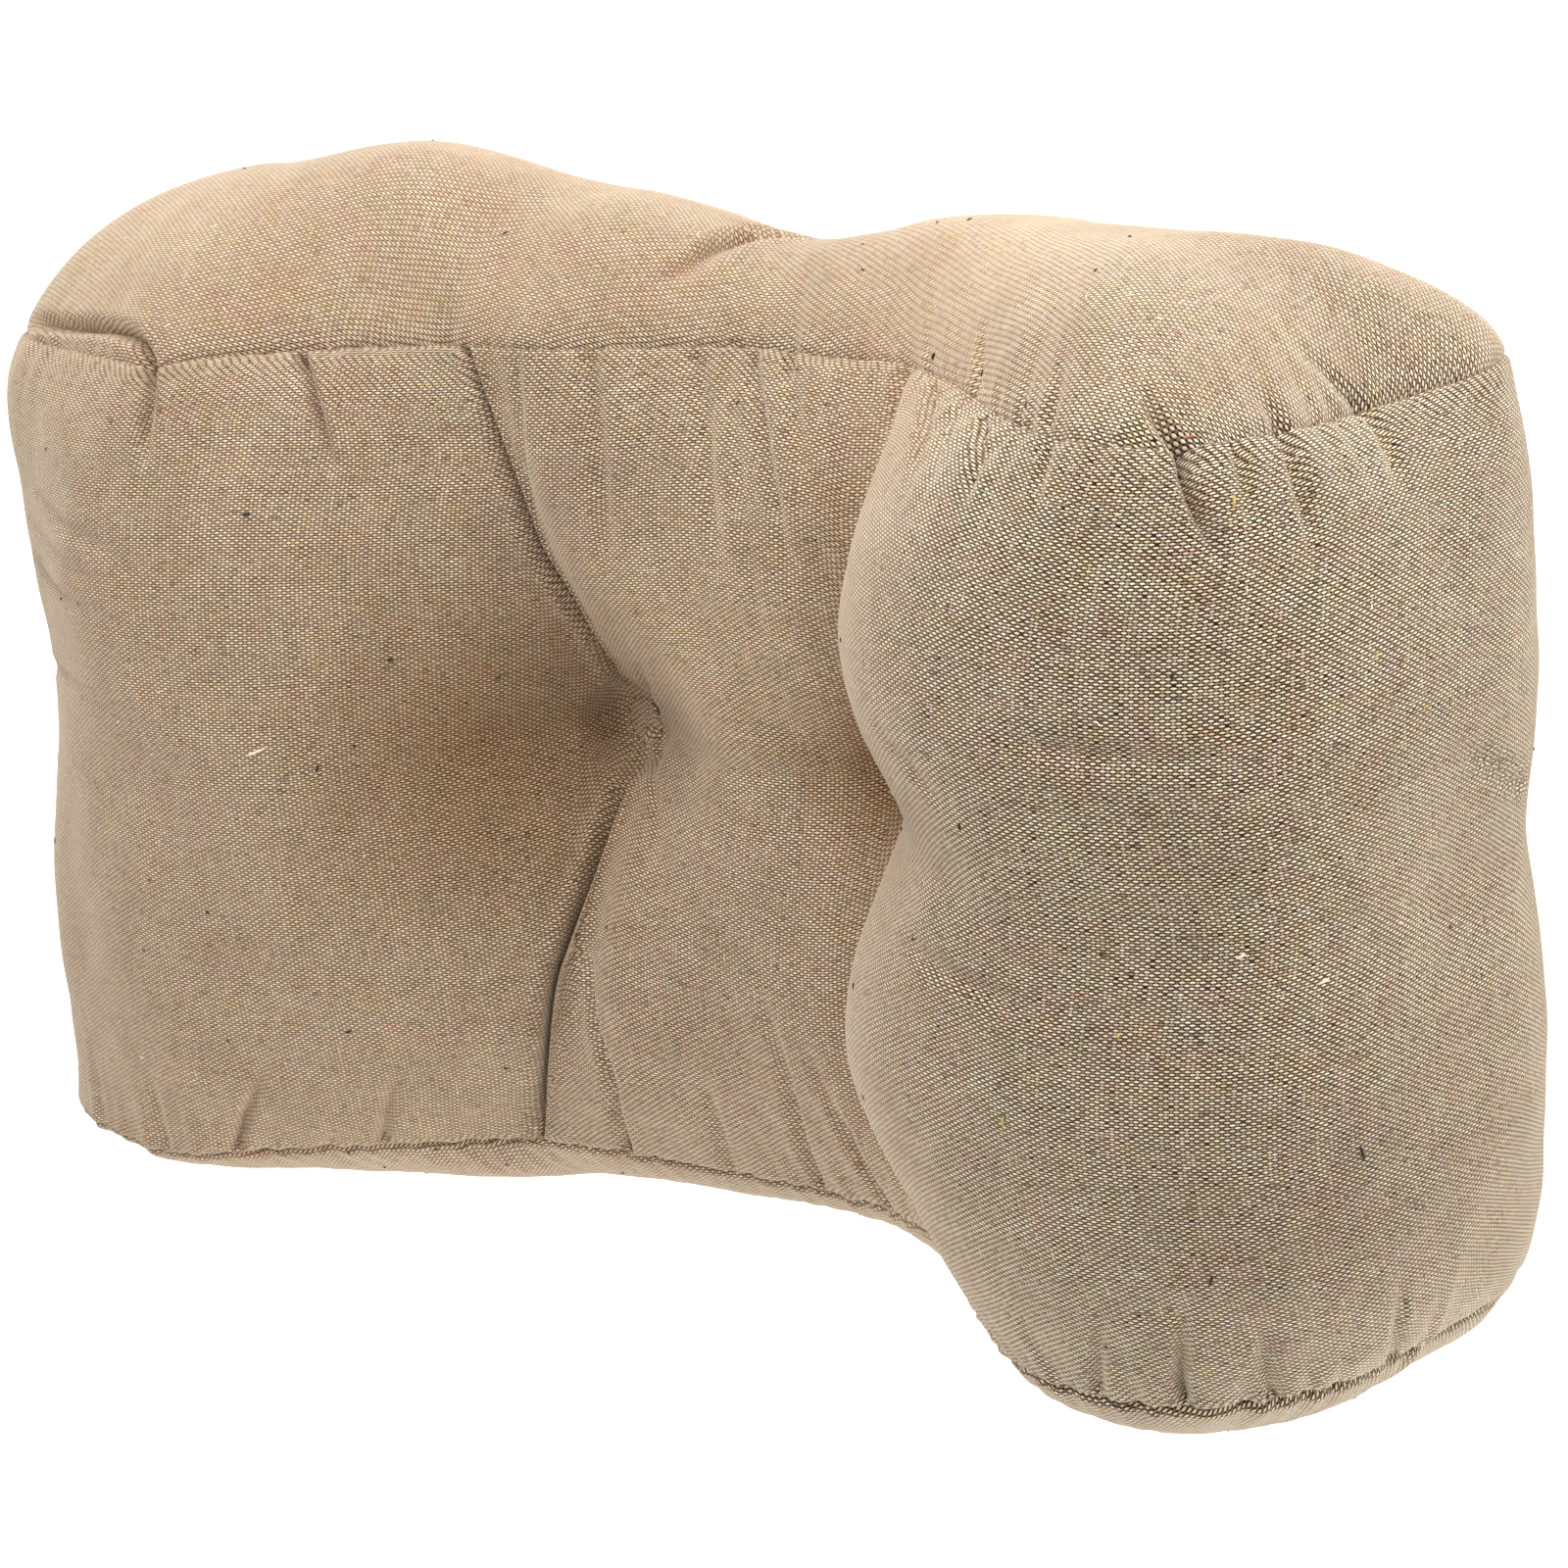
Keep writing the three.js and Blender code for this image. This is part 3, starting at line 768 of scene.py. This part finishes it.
def bead(start, end, radius, out):
    """A short stitch from start to end, thickest in the middle, arched a little towards out."""
    side = np.cross(unit(end - start), out)
    sides = STITCH_SIDES
    angle = np.arange(sides) * 2 * pi / sides
    ring = np.cos(angle)[:, None] * side + np.sin(angle)[:, None] * out
    rings = [
        start + (end - start) * share + out * lift * radius + radius * width * ring
        for share, width, lift in STITCH_PROFILE
    ]
    verts = np.concatenate(rings)
    faces = []
    for base in range(0, len(verts) - sides, sides):
        for j in range(sides):
            k = (j + 1) % sides
            faces.append([base + j, base + k, base + sides + k, base + sides + j])
    faces += [list(range(sides))[::-1], [len(verts) - sides + j for j in range(sides)]]
    return verts, faces


def stitch_object(name, beads):
    verts, faces, uvs, base = [], [], [], 0
    for v, f in beads:
        verts.append(v)
        faces += [[k + base for k in g] for g in f]
        base += len(v)
    verts = np.concatenate(verts)
    uvs = [verts[f][:, :2] for f in faces]
    return make_mesh(name, verts, faces, uvs)


def seam_stitches(name, side):
    edge = band_cloth[-1 if side > 0 else 0]
    way, total = way_round(edge)
    count = int(total / (SEAM_STITCH + SEAM_STITCH_GAP))
    pitch = total / count
    loop = np.concatenate([edge, edge[:1]])
    marks = np.concatenate([way, [total]])
    out = np.concatenate([seam_normal[side], seam_normal[side][:1]])
    beads = []
    for k in range(count):
        n = unit(between_rows((k + SEAM_STITCH_MIDDLE) * pitch, marks, out))
        ends = between_rows(np.array([0, SEAM_STITCH]) + k * pitch, marks, loop) - n * SEAM_STITCH_SINK
        beads.append(bead(*ends, SEAM_THREAD_RADIUS[side], n))
    return stitch_object(name, beads)


def tuft_ring(name, place):
    centre = np.array(place)
    near = ((band_cloth - centre)[..., :2] ** 2).sum(-1) < TUFT_RADIUS**2
    near &= np.abs(band_cloth[..., 2] - centre[2]) < TUFT_DEPTH_RANGE
    centre[2] = np.median(band_cloth[near][:, 2])
    beads = []
    up = unit(np.array([-TUFT_TILT, 0.0, 1.0]))
    for k in range(TUFT_STITCHES):
        ends = []
        for share in TUFT_STITCH_SHARES:
            angle = (k + share) * 2 * pi / TUFT_STITCHES
            spoke = np.array([cos(angle), sin(angle), TUFT_TILT * cos(angle)])
            ends.append(centre + TUFT_RING_RADIUS * spoke)
        beads.append(bead(*ends, TUFT_THREAD_RADIUS, up))
    return stitch_object(name, beads)


# Specks
# Bits of husk and knots of fibre caught in the weave: the ones that can be made out in the photo, as
# place, length and turn, and small ones anywhere.
SPECKS = {
    "dark": (
        ((180.3, -76.2, 123), 3.6, 1.3), ((205.4, -50, 96.1), 4.6, 1.8),
        ((78.7, 120, 70.2), 2.4, 1), ((-85.6, 34.5, 104.4), 1.8, 0.2),
        ((-101.4, 6.6, 120.9), 2, 0.9), ((-108.7, -73.3, 116), 2.4, 0.4),
        ((-138, -34.9, 135.7), 1.5, 2), ((127.2, 29.1, 135.7), 1.8, 1.5),
        ((180.4, 67.5, 126.1), 1.8, 1.2), ((-117, 76, 121), 2.6, 0.1),
    ),
    "brown": (
        ((208.9, 62.3, 78.9), 2.6, 0.7),
    ),
    "straw": (
        ((187.7, 104.3, 109.8), 3, 1.4), ((207.1, 65.4, 86.6), 1.8, 0.3),
        ((136, -39.6, 138.2), 2.6, 1.5), ((165.7, -15.1, 132.4), 1.5, 1),
    ),
    "red": (
        ((-138.5, 104.1, 126.7), 1.6, 0.8), ((177.7, 116.9, 111), 2.4, 0.1),
    ),
    "pale": (
        ((-114.4, 12.8, 130.4), 6, 0.35), ((201.4, -6.6, 103.1), 3.6, 0.2),
        ((190.2, 2.7, 118.7), 2.4, 0.4),
    ),
}
SPECK_COLOURS = {
    "dark": (0.035, 0.028, 0.022, 1),
    "brown": (0.22, 0.12, 0.06, 1),
    "straw": (0.58, 0.44, 0.12, 1),
    "red": (0.40, 0.13, 0.11, 1),
    "pale": (0.86, 0.74, 0.56, 1),
}
SPECK_RADIUS, SPECK_LIFT, SPECK_SPACING = 0.36, 0.12, 10.0
# Small specks: number, shortest length, how much longer the longest is, and share of the radius.
SMALL_SPECKS, SMALL_SHORTEST, SMALL_LONGER, SMALL_RADIUS = 260, 0.8, 1.2, 0.55
# Never along a normal of the cloth.
NEARLY_UP = (0.0, 1.0, 0.01)
SMALL_KINDS = ("dark", "brown", "pale", "pale", "straw", "brown", "dark", "pale")


def speck_objects():
    at = in_one_list(band_cloth, end_cloth[1][:-1], end_cloth[-1][:-1])
    lot = np.random.default_rng(7)
    chosen = [
        (((at - place) ** 2).sum(1).argmin(), kind, length, turned, 1.0)
        for kind, rows in SPECKS.items()
        for place, length, turned in rows
    ]
    wanted = len(chosen) + SMALL_SPECKS
    for k in lot.permutation(len(at)):
        if len(chosen) >= wanted:
            break
        if all(((at[k] - at[other[0]]) ** 2).sum() > SPECK_SPACING**2 for other in chosen):
            kind = SMALL_KINDS[lot.integers(len(SMALL_KINDS))]
            length = SMALL_SHORTEST + SMALL_LONGER * lot.random()
            chosen.append((k, kind, length, pi * lot.random(), SMALL_RADIUS))
    made = []
    for kind, colour in SPECK_COLOURS.items():
        beads = []
        for k, its_kind, length, turned, thick in chosen:
            if its_kind != kind:
                continue
            n = cloud_normal[k]
            level = unit(np.cross(n, NEARLY_UP))
            way = cos(turned) * level + sin(turned) * np.cross(n, level)
            middle = at[k] + SPECK_LIFT * n
            half = way * length / 2
            beads.append(bead(middle - half, middle + half, SPECK_RADIUS * thick, n))
        made.append((stitch_object("specks_" + kind, beads), colour))
    return made


specks = speck_objects()
seam_top = seam_stitches("seam_stitches_top", 1)
seam_bottom = seam_stitches("seam_stitches_bottom", -1)
tuft_left = tuft_ring("tuft_stitches_left", TUFTS["left"])
tuft_right = tuft_ring("tuft_stitches_right", TUFTS["right"])


# Materials
class Graph:
    """Short ways to add shader nodes to a material."""

    def __init__(self, name):
        self.material = bpy.data.materials.new(name)
        self.material.use_nodes = True
        self.tree = self.material.node_tree
        self.shader = self.tree.nodes["Principled BSDF"]

    def node(self, kind, inputs=(), **settings):
        n = self.tree.nodes.new("ShaderNode" + kind)
        for k, v in settings.items():
            setattr(n, k, v)
        for key, value in dict(inputs).items():
            self.put(n.inputs[key], value)
        return n

    def put(self, socket, value):
        if isinstance(value, bpy.types.NodeSocket):
            self.tree.links.new(value, socket)
        else:
            socket.default_value = value

    def surface(self, inputs):
        """Sets or links the shader's own inputs."""
        for key, value in inputs.items():
            self.put(self.shader.inputs[key], value)

    def math(self, op, a, b=0.0):
        return self.node("Math", {0: a, 1: b}, operation=op).outputs[0]

    def plus(self, a, b):
        return self.math("ADD", a, b)

    def minus(self, a, b):
        return self.math("SUBTRACT", a, b)

    def times(self, a, b):
        return self.math("MULTIPLY", a, b)

    def vector(self, x, y, z=0.0):
        return self.node("CombineXYZ", {0: x, 1: y, 2: z}).outputs[0]

    def noise(self, at, scale, detail=2.0, rough=0.5):
        inputs = {"Vector": at, "Scale": scale, "Detail": detail, "Roughness": rough}
        return self.node("TexNoise", inputs).outputs["Fac"]

    def random(self, at):
        n = self.node("TexWhiteNoise", {"Vector": at}, noise_dimensions="2D")
        return n.outputs["Value"]

    def span(self, x, low, high, to_low=0.0, to_high=1.0, smooth=True):
        inputs = {"Value": x, "From Min": low, "From Max": high, "To Min": to_low, "To Max": to_high}
        kind = "SMOOTHSTEP" if smooth else "LINEAR"
        return self.node("MapRange", inputs, interpolation_type=kind).outputs["Result"]

    def mix(self, share, a, b, blend="MIX", beyond=False):
        """a and b mixed. With beyond, a share over 1 goes past b, down to black or up to white."""
        settings = {"clamp_factor": not beyond, "clamp_result": beyond}
        n = self.node("Mix", {0: share}, data_type="RGBA", blend_type=blend, **settings)
        self.put(n.inputs[6], a)
        self.put(n.inputs[7], b)
        return n.outputs[2]

    def tinted(self, share, colour, tint):
        """The colour, multiplied by the tint as far as share says."""
        return self.mix(share, colour, self.mix(1.0, colour, tint, "MULTIPLY"))


WARP_PITCH_MM, WEFT_PITCH_MM = 1.15, 0.73
# Threads wander by up to this much, in a pattern with this many waves per mm.
DRIFT_MM, DRIFT_SCALE = 0.7, 0.06
# The weft's crowns are pale and stand up; between them the warp shows, darker and deeper, and a
# dark hole is left beside each crossing. Where the threads dip, their colour is painted darker towards
# the holes' colour, as painted shade.
WEFT_SWING, WEFT_ROUND = 1.0, 2.3
WARP_SWING, WARP_ROUND = 0.8, 1.9
THREAD_EDGE = 0.12
# Slubs: waves per mm along a thread, and the step from thread to thread. They and chance at each
# crossing set the threads' tone, from dark to light.
SLUB_SCALE, SLUB_APART = 0.11, 3.7
TONE_BY_SLUB, TONE_BY_CHANCE, TONE_DARK, TONE_LIGHT = 1.1, 0.3, 0.15, 1.15
WEFT_DARK, WEFT_LIGHT = (0.60, 0.425, 0.275, 1), (0.95, 0.745, 0.535, 1)
WARP_DARK, WARP_LIGHT = (0.28, 0.19, 0.11, 1), (0.55, 0.40, 0.265, 1)
# A few crossings are brighter or browner: beyond which chance, and by how much at most.
BRIGHT_FROM, BRIGHT_SHARE, THREAD_BRIGHT = 0.94, 0.2, (0.95, 0.84, 0.68, 1)
BROWN_FROM, BROWN_SHARE, THREAD_BROWN = 0.04, 0.4, (0.20, 0.12, 0.07, 1)
# The holes' colour, which also serves as painted shade on the threads where they dip.
HOLE_AND_SHADE_COLOUR = (0.05, 0.028, 0.015, 1)
HOLE_HEIGHT, CROWN_HEIGHT = -0.35, 1.55
MEAN_COLOUR = (0.56, 0.40, 0.26, 1)
# Fuzz mottles the weave, longer along the weft.
MOTTLE_SIZE_MM, MOTTLE_STRETCH, MOTTLE = 1.6, 0.7, (0.80, 0.77, 0.73, 1)
MOTTLE_NONE, MOTTLE_ALL = 0.52, 0.28
# The weave is open, with larger and darker holes, where the filling stretches it over the front of
# the right lobe, and closest at the left side and on the end panels. Limits are in metres.
LEFT_FROM, LEFT_TO, LEFT_OPEN, MIDDLE_OPEN = -0.22, 0.02, 1.10, 1.50
LOBE_FROM, LOBE_TO, LOBE_OPEN = 0.095, 0.140, 0.55
PANEL_FROM, PANEL_TO, PANEL_OPEN = 0.098, 0.115, 0.70
# The right lobe's flank towards the hollow, under its crown: the weave is closer there, and the
# cloth is painted paler there, as painted light.
CROWN_FROM, CROWN_TO = 0.070, 0.120
FLANK_FROM, FLANK_FULL, FLANK_LESS, FLANK_TO = 0.03, 0.08, 0.14, 0.17
FLANK_OPEN, FLANK_PAINTED_LIGHT = 0.45, (1.20, 1.20, 1.22, 1)
# Painted shade and light: the cloth is painted darker and browner in the hollows round the tufts
# and low on the right lobe's outer flank, as painted shade, and lighter on the middle above the
# tufts, as painted light.
PAINTED_SHADE_AND_LIGHT = (
    # middle in mm, full within and gone beyond in metres, tint
    ((-82, 2, 78), 0.0, 0.075, (0.70, 0.58, 0.44, 1)),
    ((50, 8, 60), 0.010, 0.035, (0.90, 0.80, 0.70, 1)),
    ((0, 34, 84), 0.010, 0.060, (1.22, 1.20, 1.16, 1)),
    ((196, -60, 80), 0.0, 0.070, (0.86, 0.84, 0.83, 1)),
)
# Wide soft patches, and smaller ones of faint colour.
PATCH_SCALE, PATCH_FROM, PATCH_TO = 0.035, 0.3, 0.7
PATCH_DARK, PATCH_LIGHT = (0.90, 0.88, 0.86, 1), (1.0, 1.0, 1.0, 1)
TINT_FROM, TINT_TO = 0.5, 0.68
TINTS = (
    # offset of the pattern, size in mm, colour
    (3.0, 9.0, (1.0, 0.93, 0.95, 1)),
    (8.0, 7.0, (1.0, 0.985, 0.88, 1)),
    (15.0, 11.0, (0.95, 0.985, 0.97, 1)),
)


def drift(g, at):
    return g.span(g.noise(at, DRIFT_SCALE, 1.0), 0, 1, -DRIFT_MM, DRIFT_MM, False)


def thread_colour(g, slub, chance, dark, light):
    tone = g.plus(g.times(slub, TONE_BY_SLUB), g.times(chance, TONE_BY_CHANCE))
    return g.mix(g.span(tone, TONE_DARK, TONE_LIGHT, smooth=False), dark, light)


def weave(g, s, t):
    """The threads' colour, with dark holes between them and painted shade where they dip, and their
    height.
    """
    a = g.math("DIVIDE", g.plus(s, drift(g, g.vector(s, g.times(t, 0.5)))), WARP_PITCH_MM)
    b = g.math("DIVIDE", g.plus(t, drift(g, g.vector(g.times(s, 0.5), t, 7.0))), WEFT_PITCH_MM)
    warp, weft = g.math("FLOOR", a), g.math("FLOOR", b)
    wave_a = g.math("SINE", g.times(g.math("FRACT", a), pi))
    wave_b = g.math("SINE", g.times(g.math("FRACT", b), pi))
    weft_over = g.math("FLOORED_MODULO", g.plus(warp, weft), 2.0)
    up = g.minus(g.times(weft_over, 2.0), 1.0)
    weft_crown = g.times(g.minus(wave_b, 0.5), WEFT_ROUND)
    warp_crown = g.times(g.minus(wave_a, 0.5), WARP_ROUND)
    weft_height = g.plus(g.times(g.times(up, wave_a), WEFT_SWING), weft_crown)
    warp_height = g.minus(warp_crown, g.times(g.times(up, wave_b), WARP_SWING))
    height = g.math("MAXIMUM", weft_height, warp_height)
    slub_warp = g.noise(g.vector(g.times(warp, SLUB_APART), g.times(t, SLUB_SCALE)), 1.0)
    slub_weft = g.noise(g.vector(g.times(s, SLUB_SCALE), g.times(weft, SLUB_APART), 5.0), 1.0)
    chance = g.random(g.vector(warp, weft))
    thread = g.mix(
        g.span(g.minus(weft_height, warp_height), -THREAD_EDGE, THREAD_EDGE),
        thread_colour(g, slub_warp, chance, WARP_DARK, WARP_LIGHT),
        thread_colour(g, slub_weft, chance, WEFT_DARK, WEFT_LIGHT),
    )
    bright = g.span(chance, BRIGHT_FROM, 1.0, 0.0, BRIGHT_SHARE, False)
    brown = g.span(chance, BROWN_FROM, 0.0, 0.0, BROWN_SHARE, False)
    thread = g.mix(brown, g.mix(bright, thread, THREAD_BRIGHT), THREAD_BROWN)
    # Painted shade: the lower a thread lies, the more of the holes' colour it takes.
    return g.mix(g.span(height, HOLE_HEIGHT, CROWN_HEIGHT), HOLE_AND_SHADE_COLOUR, thread), height


def cloth_material():
    g = Graph("undyed_plain_weave")
    uv = g.node("SeparateXYZ", {0: g.node("UVMap", uv_map="weave").outputs[0]})
    s, t = uv.outputs[0], uv.outputs[1]
    colour, height = weave(g, s, t)
    where = g.node("TexCoord").outputs["Object"]
    across, along, out = g.node("SeparateXYZ", {0: where}).outputs
    flank = g.times(g.span(out, CROWN_TO, CROWN_FROM), g.span(across, FLANK_FROM, FLANK_FULL))
    flank = g.times(flank, g.span(across, FLANK_TO, FLANK_LESS))
    open_ = g.plus(
        g.span(across, LEFT_FROM, LEFT_TO, LEFT_OPEN, MIDDLE_OPEN, False),
        g.times(g.span(across, LOBE_FROM, LOBE_TO), LOBE_OPEN),
    )
    open_ = g.minus(open_, g.times(flank, FLANK_OPEN))
    open_ = g.times(open_, g.span(along, PANEL_FROM, PANEL_TO, 1.0, PANEL_OPEN))
    colour = g.mix(open_, MEAN_COLOUR, colour, beyond=True)
    fuzz = g.noise(g.vector(g.times(s, MOTTLE_STRETCH), t, 11.0), 1 / MOTTLE_SIZE_MM, 2.0, 0.65)
    colour = g.tinted(g.span(fuzz, MOTTLE_NONE, MOTTLE_ALL, smooth=False), colour, MOTTLE)
    # Painted light on the right lobe's inner flank.
    colour = g.tinted(flank, colour, FLANK_PAINTED_LIGHT)
    # Painted shade in the hollows and on the lower right flank, painted light on the middle.
    for middle, full, gone, tint in PAINTED_SHADE_AND_LIGHT:
        centre = tuple((np.array(middle) + ROW_SHIFT) * MM)
        far = g.node("VectorMath", {0: where, 1: centre}, operation="DISTANCE")
        colour = g.tinted(g.span(far.outputs["Value"], gone, full), colour, tint)
    patch = g.noise(g.vector(s, t, 2.0), PATCH_SCALE, 2.0, 0.6)
    patch = g.mix(g.span(patch, PATCH_FROM, PATCH_TO), PATCH_DARK, PATCH_LIGHT)
    colour = g.mix(1.0, colour, patch, "MULTIPLY")
    for offset, size, tint in TINTS:
        spots = g.noise(g.vector(s, t, offset), 1 / size, 1.0, 0.6)
        colour = g.tinted(g.span(spots, TINT_FROM, TINT_TO), colour, tint)
    bump = g.node("Bump", {"Height": height, "Strength": 0.5, "Distance": 0.00014})
    g.surface({"Base Color": colour, "Normal": bump.outputs[0], "Roughness": 0.88})
    g.surface({"Specular IOR Level": 0.25, "Sheen Weight": 0.7, "Sheen Roughness": 0.45})
    g.surface({"Sheen Tint": (1.0, 0.86, 0.68, 1)})
    return g.material


def thread_material(name, colour):
    g = Graph(name)
    uv = g.node("UVMap", uv_map="weave").outputs[0]
    ply = g.node("TexWave", {"Vector": uv, "Scale": 3.0, "Distortion": 1.5}).outputs["Fac"]
    dark = tuple(0.6 * c for c in colour[:3]) + (1,)
    bump = g.node("Bump", {"Height": ply, "Strength": 0.4, "Distance": 0.0001})
    g.surface({"Base Color": g.mix(ply, dark, colour), "Roughness": 0.8, "Normal": bump.outputs[0]})
    return g.material


cloth = cloth_material()
seam_thread = thread_material("seam_thread", (0.42, 0.31, 0.20, 1))
tuft_thread = thread_material("tuft_thread", (0.20, 0.13, 0.08, 1))

for piece in (cloth_band, cloth_top, cloth_bottom):
    piece.data.materials.append(cloth)
    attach(piece, "root")
looks = ((seam_top, seam_thread), (seam_bottom, seam_thread))
for piece, look in (*looks, (tuft_left, tuft_thread), (tuft_right, tuft_thread)):
    piece.data.materials.append(look)
    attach(piece, "root")
for piece, colour in specks:
    look = Graph(piece.name)
    look.surface({"Base Color": colour, "Roughness": 0.9})
    piece.data.materials.append(look.material)
    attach(piece, "root")
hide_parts("body")
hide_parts("top_end_panel")
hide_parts("bottom_end_panel")
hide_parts("tuft_stitching_left")
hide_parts("tuft_stitching_right")

# Floor, light and the view's colours
FLOOR_HALF = 3.0
FLOOR_GLOW = 0.75
WORLD_LIGHT = 0.33


def make_floor():
    mesh = bpy.data.meshes.new("floor")
    h = FLOOR_HALF
    mesh.from_pydata([(-h, -h, 0), (h, -h, 0), (h, h, 0), (-h, h, 0)], [], [(0, 1, 2, 3)])
    ob = bpy.data.objects.new("floor", mesh)
    bpy.context.collection.objects.link(ob)
    g = Graph("pale_floor")
    g.surface({"Base Color": (0.9, 0.9, 0.9, 1), "Roughness": 0.9, "Specular IOR Level": 0.1})
    g.surface({"Emission Color": (1, 1, 1, 1), "Emission Strength": FLOOR_GLOW})
    g.material.cycles.emission_sampling = "NONE"
    mesh.materials.append(g.material)


LAMP_AIM = Vector((0, 0, 0.06))
LAMPS = (
    # name, place, size, watts, colour
    ("key_above_top_end", (0.10, 1.15, 0.55), 0.9, 13.0, (1.0, 1.0, 1.03)),
    ("fill_below", (0.10, -1.00, 0.20), 0.4, 4.9, (1.0, 0.99, 0.96)),
    ("fill_right", (1.20, 0.50, 0.40), 0.9, 4.9, (1.0, 1.0, 1.0)),
    ("fill_left", (-1.20, 0.10, 0.85), 0.9, 4.0, (1.03, 0.99, 0.96)),
    ("soft_overhead", (0.0, 0.0, 1.4), 1.0, 4.2, (1.03, 0.99, 0.96)),
)


def make_light():
    for name, place, size, watts, colour in LAMPS:
        data = bpy.data.lights.new(name, "AREA")
        data.size = size
        data.energy = watts
        data.color = colour
        ob = bpy.data.objects.new(name, data)
        ob.location = place
        ob.rotation_euler = (LAMP_AIM - Vector(place)).to_track_quat("-Z", "Y").to_euler()
        bpy.context.collection.objects.link(ob)
    world = bpy.data.worlds.new("studio")
    bpy.context.scene.world = world
    world.use_nodes = True
    background = world.node_tree.nodes["Background"]
    background.inputs[0].default_value = (1, 1, 1, 1)
    background.inputs[1].default_value = WORLD_LIGHT
    bpy.context.scene.view_settings.view_transform = "Standard"


make_floor()
make_light()
